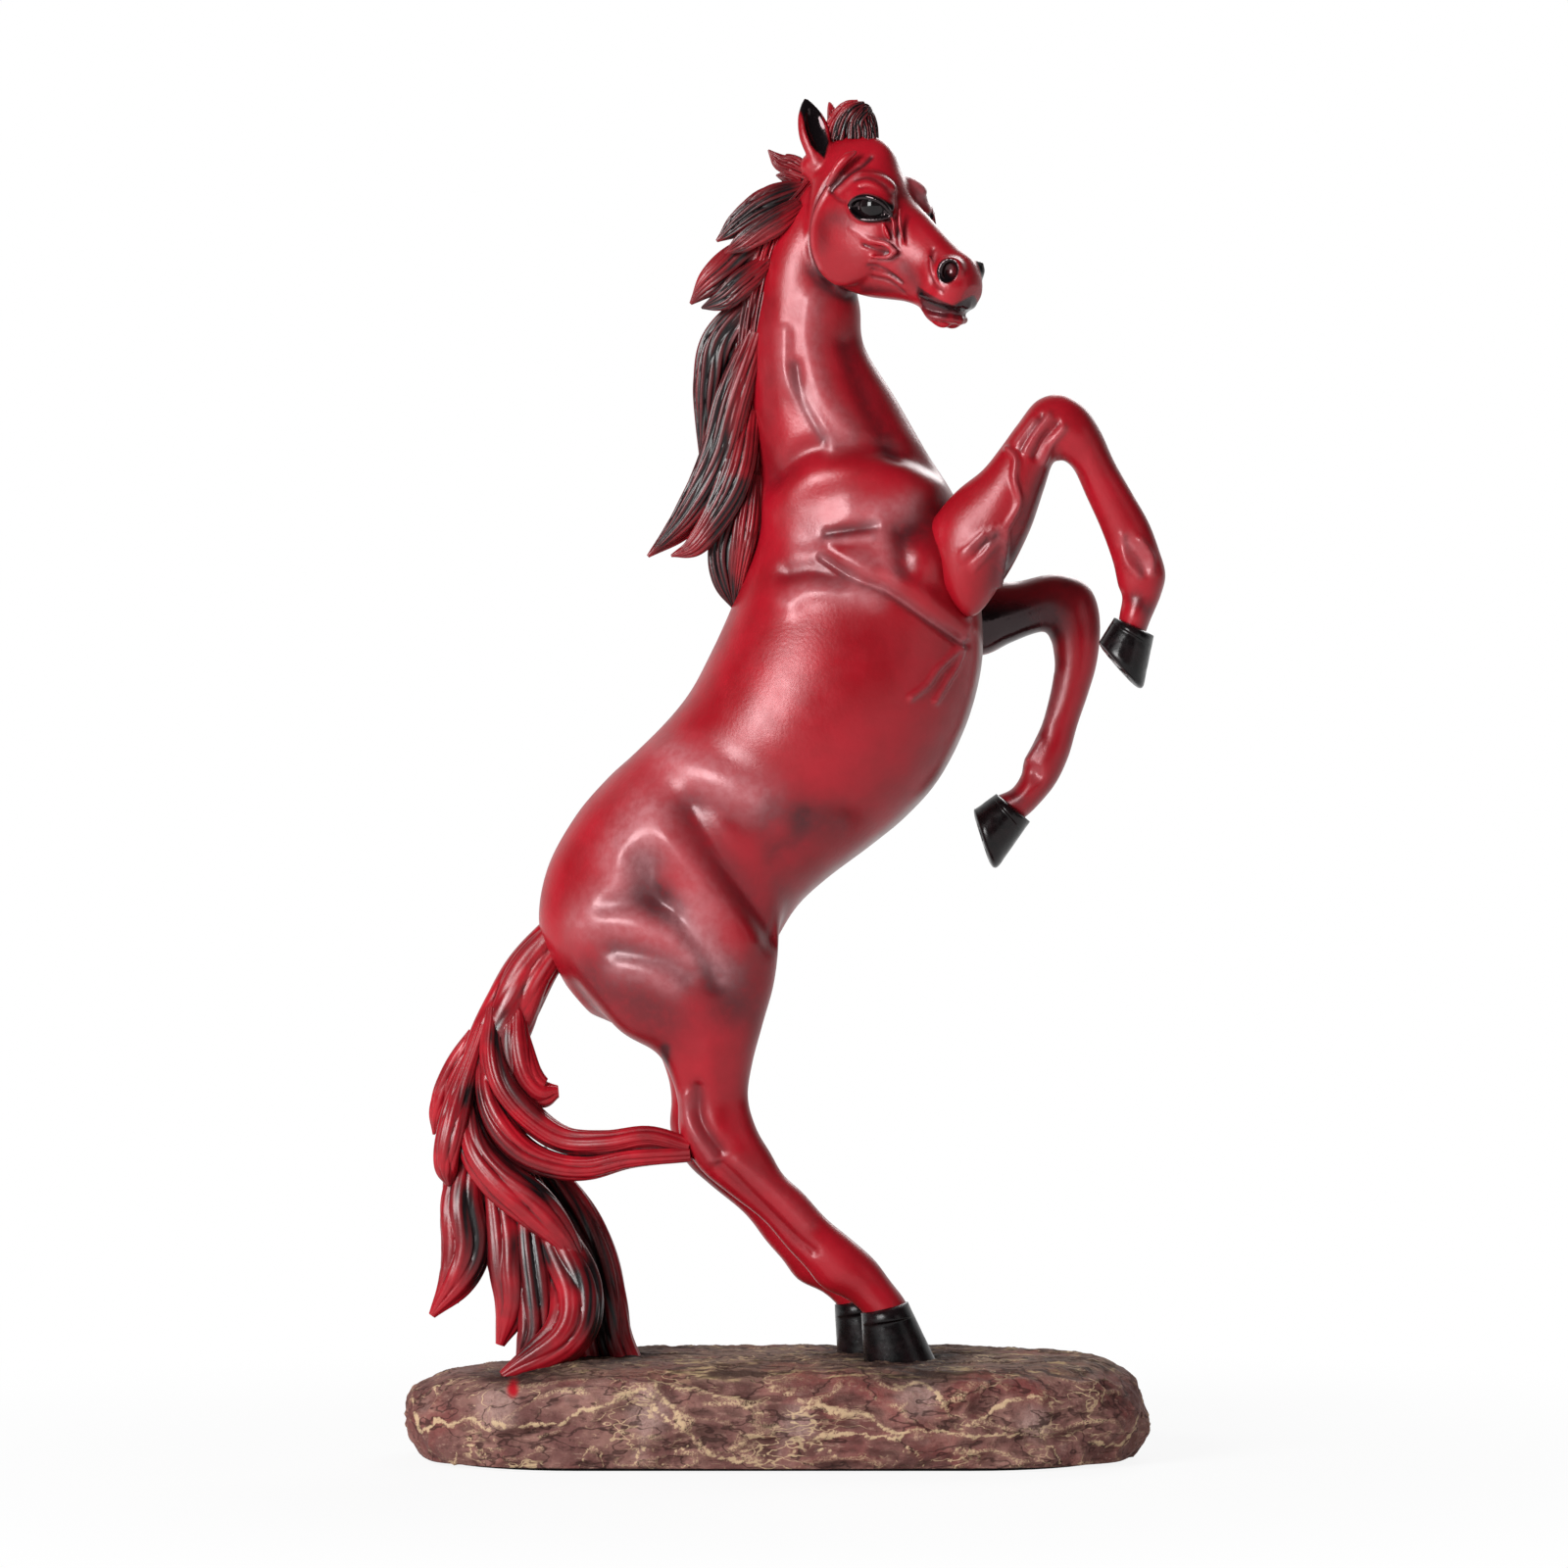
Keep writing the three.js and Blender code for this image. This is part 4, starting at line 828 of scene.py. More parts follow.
def hair_lock(path, wide, thick=None, ridges=7, shares=((0, 0.6), (0.3, 1), (0.7, 0.75), (1, 0.08)),
              groove=0.17, fine_depth=0.5, seed=0):
    """A lock as a closed mesh, with the height of its strands, 0 to 1, at each point."""
    thick = thick or 0.6 * wide
    rings, sides = 56, 112
    line = spline([[x, y, z] for x, z, y in path], rings)
    t = np.linspace(0, 1, rings)
    at, share = np.array(shares).T
    full = spline(np.column_stack([at, share]), 400)
    share = np.interp(t, full[:, 0], full[:, 1])[:, None]
    run = unit(np.gradient(line, axis=0))
    across = unit(np.cross(run, [0, 1, 0]))
    side = unit(np.cross(across, run))
    angle = np.arange(sides) / sides * 2 * np.pi
    sway = 0.5 * np.sin(2.3 * np.pi * t[:, None] + 1.7 * seed)
    wander = 0.35 * np.sin(3 * angle + 2.1 * seed) + 0.25 * np.sin(5 * angle + seed)
    turn = ridges * angle / 2 + 1.6 * sway + seed
    bundles = np.abs(np.sin(turn)) ** 0.6
    fine = round(2.3 * ridges) * angle / 2 + wander + 2.6 * sway * np.sin(angle + seed)
    strands = np.abs(np.sin(fine)) ** 0.8
    depth = groove * (1 - bundles) + fine_depth / wide * (1 - strands)
    reach = 1 - depth * smoothstep(share, 0.05, 0.4)
    points = (line[:, None]
              + across[:, None] * (wide * share * reach * np.cos(angle))[..., None]
              + side[:, None] * (thick * share * reach * np.sin(angle))[..., None])
    height = 0.45 * bundles + 0.55 * strands
    return skin(points, line[0], line[-1]), np.append(height.ravel(), [0.5, 0.5])


MANE = [
    ([(9, 277, 0), (4.5, 279.5, 1), (1.5, 280.2, 1), (-1.4, 283.1, 1)], 2.6),
    ([(8, 275, 1), (4, 276.6, 1), (0.4, 277.2, 1)], 2),
    ([(7, 274, 0), (-0.8, 270.7, 0), (-7.5, 266.2, 0), (-13.5, 261.7, 0)], 4.2),
    ([(6, 270, -4), (0, 265.5, -5), (-6.5, 261.5, -5), (-11.5, 258.6, -4)], 3.2),
    ([(0, 262, 0), (-8.2, 257.1, 0), (-14.2, 252.6, -1), (-19.6, 247, -1)], 4.6),
    ([(-1, 257, -3), (-7.5, 251.6, -4), (-12, 247.8, -4), (-17, 245.9, -3)], 3.4),
    ([(-3, 250, 0), (-12, 238.8, 0), (-14.6, 228.8, 0), (-15.4, 219.8, 0), (-17, 209, 0)], 5),
    ([(-4, 240, -3), (-9.7, 224.7, -5), (-13.7, 210.2, -5), (-20.7, 197.5, -4), (-29.2, 188.2, -2)], 4.6),
    ([(-5, 230, 1), (-11, 214.1, 0), (-15.4, 203.6, 0), (-22.2, 194.6, -1), (-29.6, 187.9, -2)], 5),
    ([(-5.5, 222, -3), (-8.4, 209.1, -6), (-12.2, 199.2, -6), (-18.2, 190.5, -6), (-24.1, 187.9, -5)], 4),
    ([(-6, 212, -1), (-9.7, 198.8, -2), (-12, 189.1, -2), (-11.6, 181.6, -2), (-9.4, 175.6, -1)], 4),
    ([(-5, 207, -3), (-6.8, 194.2, -5), (-8.4, 184.5, -4), (-9.3, 176.3, -2)], 3),
    ([(5, 270, 5), (-2, 262, 8), (-7, 253, 9), (-10, 245, 9)], 4.2),
    ([(-2, 254, 5), (-7, 242, 8), (-10, 230, 9), (-13, 219, 9)], 4.8),
    ([(-4, 236, 5), (-8, 222, 8), (-11, 208, 10), (-16, 195, 11)], 5),
]
CREST = [(9, 276, 0), (1, 265, 0), (-3, 253, 0), (-6, 235, 0), (-5.5, 212, 0), (-8, 192, 0)]
NAPE = [(-5.5, 212, 0), (-4.5, 203, 0), (-5, 192, 0), (-7.5, 180, 0)]
STRIP = ((0, 0.5), (0.3, 1), (0.7, 1), (1, 0.5))
TAIL = [
    ([(-49, 101, 0), (-57, 91, 0), (-62.4, 80, 0), (-67, 70, 0), (-70.6, 58, 0)], 6.6, 6, 5,
     ((0, 0.75), (0.35, 1), (0.7, 1), (1, 0.4))),
    ([(-66, 66, 0), (-66, 50, 0), (-60, 33, 0), (-50, 18, 0), (-43, -4, -1)], 7, 6, 8, STRIP),
    ([(-60.6, 84, -3), (-60.6, 74.4, -5), (-58.3, 66.7, -6), (-54.5, 62.4, -6), (-50.4, 62.6, -6)],
     4.2, 3.4, 5, ((0, 0.5), (0.35, 1), (0.75, 0.9), (1, 0.35))),
    ([(-66, 82, -3), (-66, 72, -6), (-63, 63.6, -8), (-56.5, 56.4, -9), (-48.8, 51.6, -10),
      (-39, 51, -12), (-29.1, 52.4, -13), (-19.6, 50.3, -14)], 3.6, 3.6, 5,
     ((0, 0.4), (0.25, 1), (0.7, 0.85), (1, 0.6))),
    ([(-68.2, 74, -3), (-67.4, 63.3, -7), (-64.2, 55.3, -9), (-58.6, 48.9, -10), (-51.2, 45.7, -11),
      (-43.1, 45.2, -12), (-33.3, 47.5, -13), (-19.4, 48.6, -14)], 3.6, 3.6, 5,
     ((0, 0.4), (0.3, 1), (0.6, 0.9), (1, 0.6))),
    ([(-72, 62, -4), (-70, 50.4, -8), (-64.5, 42.8, -10), (-56.4, 36.4, -11), (-49.2, 29, -12),
      (-43.2, 19.6, -12)], 5.2, 4.2, 6, ((0, 0.4), (0.3, 0.9), (0.65, 1), (1, 0.12))),
    ([(-68, 78, -3), (-72.8, 63.1, -6), (-75.4, 53.3, -8), (-76.6, 46.3, -8), (-76, 41, -7)],
     3.6, 3.4, 5, ((0, 0.5), (0.4, 1), (0.8, 0.8), (1, 0.25))),
    ([(-70, 76, 2), (-75.5, 66, 4), (-78.6, 58, 5), (-80.2, 52, 5)], 3.4, 3, 5),
    ([(-70, 54, -2), (-72.4, 38, -5), (-72, 26.6, -6), (-74.4, 18.2, -7), (-80, 10.3, -7)],
     6.2, 4.4, 7, ((0, 0.5), (0.35, 1), (0.7, 0.8), (1, 0.14))),
    ([(-66, 48, -2), (-63.6, 34, -6), (-61.6, 23.2, -8), (-60.6, 14.1, -9), (-64, 3.6, -9)],
     5.6, 4.2, 6, ((0, 0.5), (0.4, 1), (0.75, 0.9), (1, 0.2))),
    ([(-60, 44, -3), (-57.6, 30, -8), (-55.4, 18, -10), (-55.6, 8, -11), (-58.6, 1, -12)],
     4.6, 4.2, 6, ((0, 0.5), (0.4, 1), (0.8, 0.9), (1, 0.4))),
    ([(-58, 42, -4), (-50.6, 28, -9), (-46, 16, -13), (-49, 5.6, -16), (-63, -3, -19)],
     6.0, 4.6, 6, ((0, 0.5), (0.4, 1), (0.75, 0.98), (1, 0.24))),
    ([(-56, 48, 1), (-46.8, 35, 1), (-41.8, 23.8, 1), (-39.2, 13, 0), (-37.6, 4, 0), (-34.6, -3.5, 0)],
     4.8, 4.6, 6, ((0, 0.6), (0.3, 1), (0.7, 1), (1, 1))),
    ([(-65, 74, 3), (-71, 54, 7), (-64, 37, 9), (-53, 22, 11), (-47, 11, 12)], 5.4, 4.2, 7),
    ([(-68, 58, 3), (-73, 40, 7), (-71, 24, 9), (-75, 12, 10)], 5.2, 4.2, 6),
    ([(-61, 46, 4), (-53, 28, 9), (-49, 12, 12), (-53, -2.5, 16)], 5.8, 4.6, 7),
]
# Black and pale paint of the mane and tail, as SKIN's rows; the pale is painted highlight on the strands'
# crowns.
MANE_MARKS = [
    ([(3, 272.9), (-3.8, 268.4), (-10.5, 264)], 3, 0, 0.8, 0),
    ([(-7.5, 257.2), (-12, 249.7), (-15.7, 246)], 2.6, 0, 0.8, 0),
    ([(-12.7, 239.8), (-15.4, 228.8), (-16.1, 219.8), (-16.1, 211.1)], 4.4, 0, 1, 0),
    ([(-17.2, 210.8), (-21, 200.4), (-27, 192.1)], 2.4, 0, 0.9, 0),
    ([(-9.8, 203.1), (-12.4, 191.4), (-12.6, 183.9), (-10.1, 177.9)], 2.4, 0, 0.9, 0),
    ([(-8.3, 240.8), (-7.5, 234.8), (-9.8, 224.3)], 2.6, 0, 0, 0.7),
    ([(-15, 214.3), (-16.2, 206.3), (-12.7, 200.4)], 3.2, 0, 0.6, 0.4),
]
TAIL_MARKS = [
    ([(-63.8, 80.8), (-65.2, 75.6)], 2, 0, 0.8, 0.3),
    ([(-63.8, 75.2), (-62.4, 66.7), (-58.9, 61.5), (-54.6, 58)], 1.8, 0, 0.9, 0),
    ([(-70.8, 61.8), (-68, 54.5), (-62.4, 47.4), (-54.6, 41.4)], 2.6, 0, 1, 0),
    ([(-51, 39.6), (-43.4, 30.1), (-40.6, 20.3), (-40.4, 9.4)], 3.6, 0, 1, 0),
    ([(-72.2, 38.6), (-70.1, 30.1), (-69.1, 19.3)], 3.2, 0, 0.9, 0),
    ([(-58.9, 28.7), (-56.8, 19.3), (-56, 10.8), (-58.2, 3.8)], 3, 0, 0.9, 0),
    ([(-56.6, 27.3), (-49.7, 23.1), (-46.2, 19.3)], 2, 0, 0.8, 0),
    ([(-42.7, 19.3), (-40.6, 10.8), (-40.2, 0.3)], 2, 0, 1, 0),
    # painted highlight on the top of the tail
    ([(-61, 84), (-58, 89), (-55, 93.5)], 2.2, 0, 0, 1),
]


def hair(locks, low, high, pitch):
    """Locks cut into one another as one skin, the height of its strands, and the same as clay."""
    solids = [in_scene("lock", mesh_data(*outward(mesh))) for mesh, _ in locks]
    whole = solids[0]
    for other in solids[1:]:
        join = whole.modifiers.new("join", "BOOLEAN")
        join.operation, join.solver, join.object = "UNION", "MANIFOLD", other
    joined = bmesh.new()
    joined.from_object(whole, bpy.context.evaluated_depsgraph_get())
    mesh = arrays_of(joined)
    joined.free()
    for solid in solids:
        bpy.data.meshes.remove(solid.data)
    points = np.vstack([mesh[0] for mesh, _ in locks])
    heights = np.concatenate([height for _, height in locks])
    tree = KDTree(len(points))
    for n, point in enumerate(points):
        tree.insert(point, n)
    tree.balance()
    strands = heights[[tree.find(point)[1] for point in mesh[0]]]
    clay = Clay(low, high, pitch, 6 * pitch)
    clay.add(together([mesh for mesh, _ in locks]), 0.01)
    return mesh, strands, clay


def hollows(clay, points, times=10):
    """How deep in a hollow each point lies, in millimetres; ridges come out below zero."""
    wide = soften(clay.values.copy(), times)
    return -clay.at(points, wide)


def on_neck(path):
    return [(x, z, y + float(bend(z))) for x, z, y in path]


def mane():
    locks = [hair_lock(on_neck(path), wide, seed=n) for n, (path, wide) in enumerate(MANE)]
    locks.append(hair_lock(on_neck(CREST), 3.4, 4.4, 9, STRIP, seed=20))
    locks.append(hair_lock(on_neck(NAPE), 3.4, 4.0, 7, STRIP, seed=21))
    return hair(locks, (-38, -18, 168), (18, 18, 290), HAIR_GRID)


def tail():
    locks = []
    for n, (path, wide, thick, ridges, *shares) in enumerate(TAIL):
        locks.append(hair_lock(path, wide, thick, ridges, *shares, groove=0.16, fine_depth=0.22, seed=n))
    return hair(locks, (-88, -26, -10), (-14, 22, 108), HAIR_GRID)


FORELOCK = [
    ([(0.7, 7, -1.2), (0, 10.7, -1.2), (1, 15, -1), (3.1, 18, 0)], 2.3),
    ([(3.8, 8.4, -2.4), (2.9, 12.2, -2.4), (3.7, 16, -1.6), (4.9, 18.3, 0)], 2.3),
    ([(7.6, 10.3, -2), (6.3, 13.4, -2), (6.2, 16.2, -1.2), (6, 18, 0)], 2.2),
    ([(10.6, 11.2, -0.8), (9.2, 13.4, -0.8), (7.6, 15.2, -0.6), (6.2, 17, 0)], 1.8),
    ([(4.5, 9, 2), (4, 13, 2), (4.6, 16.4, 1.4), (5.2, 18, 0.4)], 2.6),
    ([(9, 10.4, 2), (7.6, 13.2, 2), (6.6, 15.4, 1.4), (5.8, 17.2, 0.4)], 2.1),
    ([(1.2, 9.4, 0), (-1.5, 11.6, 0), (-3.3, 12.9, 0)], 1.9),
]


def forelock():
    locks = []
    for n, (path, wide) in enumerate(FORELOCK):
        line = from_head(np.array([(u, w, v) for u, v, w in path]))
        locks.append(hair_lock([(x, z, y) for x, y, z in line], wide, 0.85 * wide, 5,
                               ((0, 1), (0.4, 0.9), (0.75, 0.7), (1, 0.25)), seed=n + 30))
    return hair(locks, (-5, -25, 270), (35, 20, 310), FORELOCK_GRID)


# Rock

BASE_HALF_LENGTH = 88.0
BASE_HALF_DEPTH = 40.0
BASE_HEIGHT = 22.5
SHELF_DROP = 3.0
ROCK_RINGS = [
    (0, 0.965), (0.12, 0.985), (0.32, 1), (0.58, 1), (0.78, 0.97), (0.91, 0.915),
    (1, 0.83), (1.02, 0.55), (1.01, 0.25), (1, 0.02),
]


# Ridges of the rock and its pale veins, as lines of [x, z] points
RIDGES = [
    [(5, -0.6), (20, -3.4), (31, -11.2), (34, -13.4)],
    [(39, -8), (48, -1.5), (61, -5.6)],
    [(-58, -6), (-38, -3), (-31, -2)],
    [(-63, -12), (-44, -9), (-30, -5.5), (-20, -12)],
    [(-27, -4.5), (-7, -8), (-1.5, -12.3)],
    [(-1.5, -2.3), (15, -9), (31, -14)],
]
VEINS = [
    [(-63.5, -11.8), (-55.1, -12.3), (-49.5, -11.8), (-43.9, -9), (-38.3, -7.9), (-32.8, -5.6),
     (-29.4, -5.6), (-24.9, -11.2), (-20.5, -11.8)],
    [(-27.2, -4.5), (-24.9, -3.2), (-20.5, -4), (-13.8, -5.6), (-7.1, -7.9), (-1.5, -12.3)],
    [(-27.2, -4.5), (-23.3, -9), (-19.4, -13.4), (-16, -17.9), (-9.3, -20.4), (-2.6, -21.3)],
    [(-9.3, -17.9), (-6, -14.6), (-1.5, -13.4), (4.1, -9.5), (9.7, -7.9), (13, -9.5), (17.5, -10.1)],
    [(-1.5, -2.3), (1.9, -5.1), (8.6, -7.9), (15.3, -9), (21.9, -10.7), (26.4, -13.4), (30.9, -14)],
    [(27.5, -3.4), (33.1, -3.4), (37.6, -5.6), (39.8, -9)],
    [(44.3, -12.9), (49.9, -9), (55.4, -6.7), (61, -6.7)],
    [(-84.1, -9), (-81.9, -12.3), (-80.8, -15.1), (-77.4, -12.3), (-74.1, -13.4), (-69.6, -12.3),
     (-65.1, -13.4)],
    [(77.8, 0), (83.4, -2.3), (85.6, -6.7), (84.5, -12.3), (80, -17.9), (73.3, -16.8)],
    [(8.6, -15.1), (17.5, -14), (25.3, -15.1), (35.3, -14), (46.5, -15.1), (57.7, -14.6)],
]
ARCHES = [-70.0, -41.6, -29.0, -20.5, -6.0, 12.0, 31.0, 44.0, 63.0]
PATCHES = [(-28.8, -9.5, 5.0), (33.1, -6.7, 5.0), (-63.5, -8.4, 5.0), (5.2, -11.2, 4.0), (60, -12, 4)]


def boxy(v):
    return np.sign(v) * np.abs(v) ** 0.64


def rock():
    """The rock, with values for its veins, crests, patches and overspray."""
    rows = spline(ROCK_RINGS, 1400)
    run = np.concatenate([[0], np.cumsum(np.hypot(np.diff(rows[:, 0]) * BASE_HEIGHT,
                                                  np.diff(rows[:, 1]) * 55))])
    sides = 880
    lip = np.interp(7, np.linspace(0, len(ROCK_RINGS) - 1, len(run)), run)
    even = np.concatenate([np.linspace(0, lip, 76, endpoint=False), np.linspace(lip, run[-1], 34)])
    rings = len(even)
    height, share = (np.interp(even, run, rows[:, k])[:, None] for k in (0, 1))
    angle = np.arange(sides) / sides * 2 * np.pi
    waves = 0.018 * np.sin(5 * angle + 8 * height) + 0.012 * np.sin(11 * angle - 12 * height)
    broken = share * (1 + waves * (0.3 + 0.7 * np.abs(np.sin(angle))))
    x = BASE_HALF_LENGTH * broken * boxy(np.cos(angle))
    x *= 1 - np.where(x < 0, 0.026, 0.012) * smoothstep(np.abs(x), 60, 88)
    y = BASE_HALF_DEPTH * broken * boxy(np.sin(angle))
    shelf = SHELF_DROP * smoothstep(-x, 0.5 * BASE_HALF_LENGTH, 0.72 * BASE_HALF_LENGTH)
    z = BASE_HEIGHT * (height - 1) - shelf * height**3
    points, quads, tris = outward(skin(np.stack([x, y, z], -1), [0, 0, -BASE_HEIGHT], [0, 0, 0]))
    normals = normals_of((points, quads, tris))
    wall = smoothstep(-points[:, 2], 0.5, 5) * smoothstep(points[:, 2], -22.4, -19.5)
    facing = smoothstep(np.abs(normals[:, 1]), 0, 0.5)
    flat = points[:, [0, 2]]
    ridges = [1.3 * facing * np.exp(-(to_path(flat, path) / 3) ** 2) for path in RIDGES]
    bent = flat + 0.8 * np.column_stack([noise(points, 2.2, 21), noise(points, 2.2, 22)])
    bent += 0.3 * np.column_stack([noise(points, 0.9, 23), noise(points, 0.9, 24)])
    rise, veins, patches = sum(ridges), 0, 0
    for path in VEINS:
        far = to_path(bent, path)
        rise = rise + 0.5 * facing * np.exp(-(far / 0.9) ** 2)
        veins = np.maximum(veins, facing * np.exp(-(far / 0.5) ** 2))
    for middle in ARCHES:
        inside = 1 - ((bent[:, 0] - middle) / 3.4) ** 2 - ((bent[:, 1] + 23) / 5.4) ** 2
        rise = rise + 0.5 * facing * smoothstep(inside, -0.1, 0.35)
        veins = np.maximum(veins, 0.8 * facing * np.exp(-(inside / 0.16) ** 2))
    for px, pz, reach in PATCHES:
        far = np.hypot(bent[:, 0] - px, bent[:, 1] - pz) / reach
        patches = np.maximum(patches, facing * np.exp(-far**4))
    warp = points * np.array([0.42, 0.9, 1.3]) + 3 * np.column_stack(
        [noise(points, 15, seed) for seed in (41, 42, 43)])
    folds = (1 - np.abs(noise(warp, 7, 50))) ** 3
    chips = (1 - np.abs(noise(warp, 3.4, 60))) ** 2
    top = smoothstep(points[:, 2], -3.6, -1.2)
    drawn = points * np.array([0.3, 1.6, 1]) + 2 * noise(points, 12, 45)[:, None]
    streaks = 1 - np.abs(noise(drawn, 4, 46))
    calm = 0.4 + 0.6 * facing
    rise = rise * wall + (1 - top) * calm * (1.3 * (folds - 0.5) + 0.7 * (chips - 0.45))
    rise += 0.22 * rough(points, 2.0, 3, 70)
    rise += top * (0.5 * (streaks**3 - 0.4) + 0.3 * (folds - 0.4))
    rise[points[:, 2] < -22.45] = 0
    grid = rise[:-2].reshape(rings, sides)
    wide = grid.copy()
    for _ in range(8):
        wide = (np.roll(wide, 1, 1) + 2 * wide + np.roll(wide, -1, 1)) / 4
        wide[1:-1] = (wide[:-2] + 2 * wide[1:-1] + wide[2:]) / 4
    crest = np.append((grid - wide).ravel(), [0, 0])
    points = points + normals * rise[:, None]
    feet = [((30, -12.5), 15), ((24, 12.5), 15), ((-58, -17), 12), ((-40, 0), 13), ((-52, 14), 10)]
    soot = np.zeros(len(points))
    for place, reach in feet:
        far = np.linalg.norm((points[:, :2] - place) * [1, 0.45], axis=1) / reach
        soot = np.maximum(soot, np.exp(-far**4) * smoothstep(points[:, 2], -6, -2))
    far = np.hypot(points[:, 0] + 60, (points[:, 2] + 4.6) / 1.3) / 1.4
    drip = np.exp(-far**6) * (points[:, 1] < -20)
    return (points, quads, tris), {"vein": veins, "crest": crest, "patch": patches, "soot": soot,
                                   "drip": drip, "top": top, "rust": (ridges[0] + ridges[1]) / 1.3}


# Materials

def srgb(red, green, blue):
    """Linear colour from the 0 to 255 values that a screen shows."""
    return tuple(c / 12.92 if c <= 0.04045 else ((c + 0.055) / 1.055) ** 2.4
                 for c in (red / 255, green / 255, blue / 255)) + (1.0,)


class Nodes:
    """A node tree, with short calls for the nodes it is made of."""

    def __init__(self, tree):
        self.tree = tree

    def put(self, value, socket):
        if isinstance(value, bpy.types.NodeSocket):
            self.tree.links.new(value, socket)
        else:
            socket.default_value = value

    def node(self, kind, inputs=(), **settings):
        """A new node, with values or links for its inputs by their names or numbers."""
        made = self.tree.nodes.new(kind)
        for key, value in settings.items():
            setattr(made, key, value)
        for key, value in dict(inputs).items():
            self.put(value, made.inputs[key])
        return made

    def maths(self, kind, a, b=0.0, clamp=False):
        return self.node("ShaderNodeMath", {0: a, 1: b}, operation=kind, use_clamp=clamp).outputs[0]

    times = partialmethod(maths, "MULTIPLY")
    plus = partialmethod(maths, "ADD")
    minus = partialmethod(maths, "SUBTRACT")
    most = partialmethod(maths, "MAXIMUM")

    def span(self, value, low, high, to_low=0.0, to_high=1.0):
        """Runs smoothly from to_low where value is low to to_high where it is high."""
        sockets = {"Value": value, "From Min": low, "From Max": high, "To Min": to_low, "To Max": to_high}
        return self.node("ShaderNodeMapRange", sockets, interpolation_type="SMOOTHSTEP").outputs["Result"]

    def choose(self, share, first, second):
        return self.node("ShaderNodeMixShader", {0: share, 1: first, 2: second}).outputs[0]


class Paint(Nodes):
    """A material made of nodes."""

    def __init__(self, name, roughness, specular=0.5, coat=0.0, metallic=0.0, coat_roughness=0.28):
        self.material = bpy.data.materials.new(name)
        self.material.use_nodes = True
        super().__init__(self.material.node_tree)
        self.shader = self.tree.nodes["Principled BSDF"]
        for key, value in {"Roughness": roughness, "Specular IOR Level": specular, "Metallic": metallic,
                           "Coat Weight": coat, "Coat Roughness": coat_roughness}.items():
            self.shader.inputs[key].default_value = value
        self.place = self.node("ShaderNodeTexCoord").outputs["Object"]
        self.base = None

    def mark(self, name):
        return self.node("ShaderNodeAttribute", attribute_name=name).outputs["Fac"]

    def noise(self, size, detail=3.0, roughness=0.55, stretch=None):
        """Noise whose features are about size millimetres across."""
        place = self.place
        if stretch:
            place = self.node("ShaderNodeMapping", {"Vector": place, "Scale": stretch}).outputs["Vector"]
        sockets = {"Vector": place, "Scale": 1 / (size * MM), "Detail": detail, "Roughness": roughness}
        return self.node("ShaderNodeTexNoise", sockets).outputs["Fac"]

    def mix(self, share, a, b):
        return self.node("ShaderNodeMix", {"Factor": share, 6: a, 7: b}, data_type="RGBA").outputs[2]

    def over(self, share, red, green, blue):
        """Another layer of paint over the base, as thick as share says."""
        self.base = self.mix(share, self.base, srgb(red, green, blue))

    def bump(self, heights, depth):
        """Relief of the given height, depth millimetres deep."""
        made = self.node("ShaderNodeBump", {"Distance": depth * MM, "Height": heights})
        self.put(made.outputs["Normal"], self.shader.inputs["Normal"])

    def colour(self, value):
        self.put(value, self.shader.inputs["Base Color"])

    def roughness(self, value):
        self.put(value, self.shader.inputs["Roughness"])


def lacquer(name):
    """Deep red satin lacquer, airbrushed dark in the hollows and pale on the ridges, with painted shade and
    highlight.
    """
    paint = Paint(name, 0.34, specular=0.5)
    paint.shader.inputs["Specular Tint"].default_value = (1, 0.75, 0.78, 1)
    cloud = paint.noise(14, 3)
    fine = paint.noise(2.2, 4)
    paint.base = paint.mix(paint.span(cloud, 0.35, 0.65), srgb(138, 9, 22), srgb(154, 12, 28))
    hollow = paint.mark("hollow")
    deep = paint.span(hollow, 0.03, 0.4)
    # dark marks are airbrush and partly painted shade; the hollows' dark is the airbrushed wash
    shade = paint.plus(paint.times(paint.mark("dark"), 0.95), paint.times(deep, 0.9))
    shade = paint.times(shade, paint.span(fine, 0.2, 0.6, 0.75, 1.1), clamp=True)
    paint.over(paint.times(shade, 0.88), 38, 17, 21)
    crown = paint.span(hollow, -0.3, -0.75)
    # pale marks are dry-brush and partly painted highlight; the crowns' pale is dry-brush
    glow = paint.plus(paint.times(paint.mark("pale"), 0.6), paint.times(crown, 0.16))
    glow = paint.times(glow, paint.span(fine, 0.3, 0.7, 0.6, 1.0), clamp=True)
    paint.over(glow, 178, 118, 123)
    # painted reflection: pale grey-pink down the front of the belly
    paint.over(paint.times(paint.mark("belly"), 0.8), 150, 128, 126)
    # black paint of eyes, nostrils, lips and ears, and on the far foreleg black that is partly painted
    # shadow
    paint.over(paint.mark("black"), 13, 9, 11)
    paint.colour(paint.base)
    worn = paint.span(paint.noise(5, 3), 0.3, 0.7, 0.3, 0.38)
    paint.roughness(paint.minus(worn, paint.times(paint.mark("black"), 0.2)))
    paint.bump(paint.noise(0.9, 2), 0.04)
    return paint.material


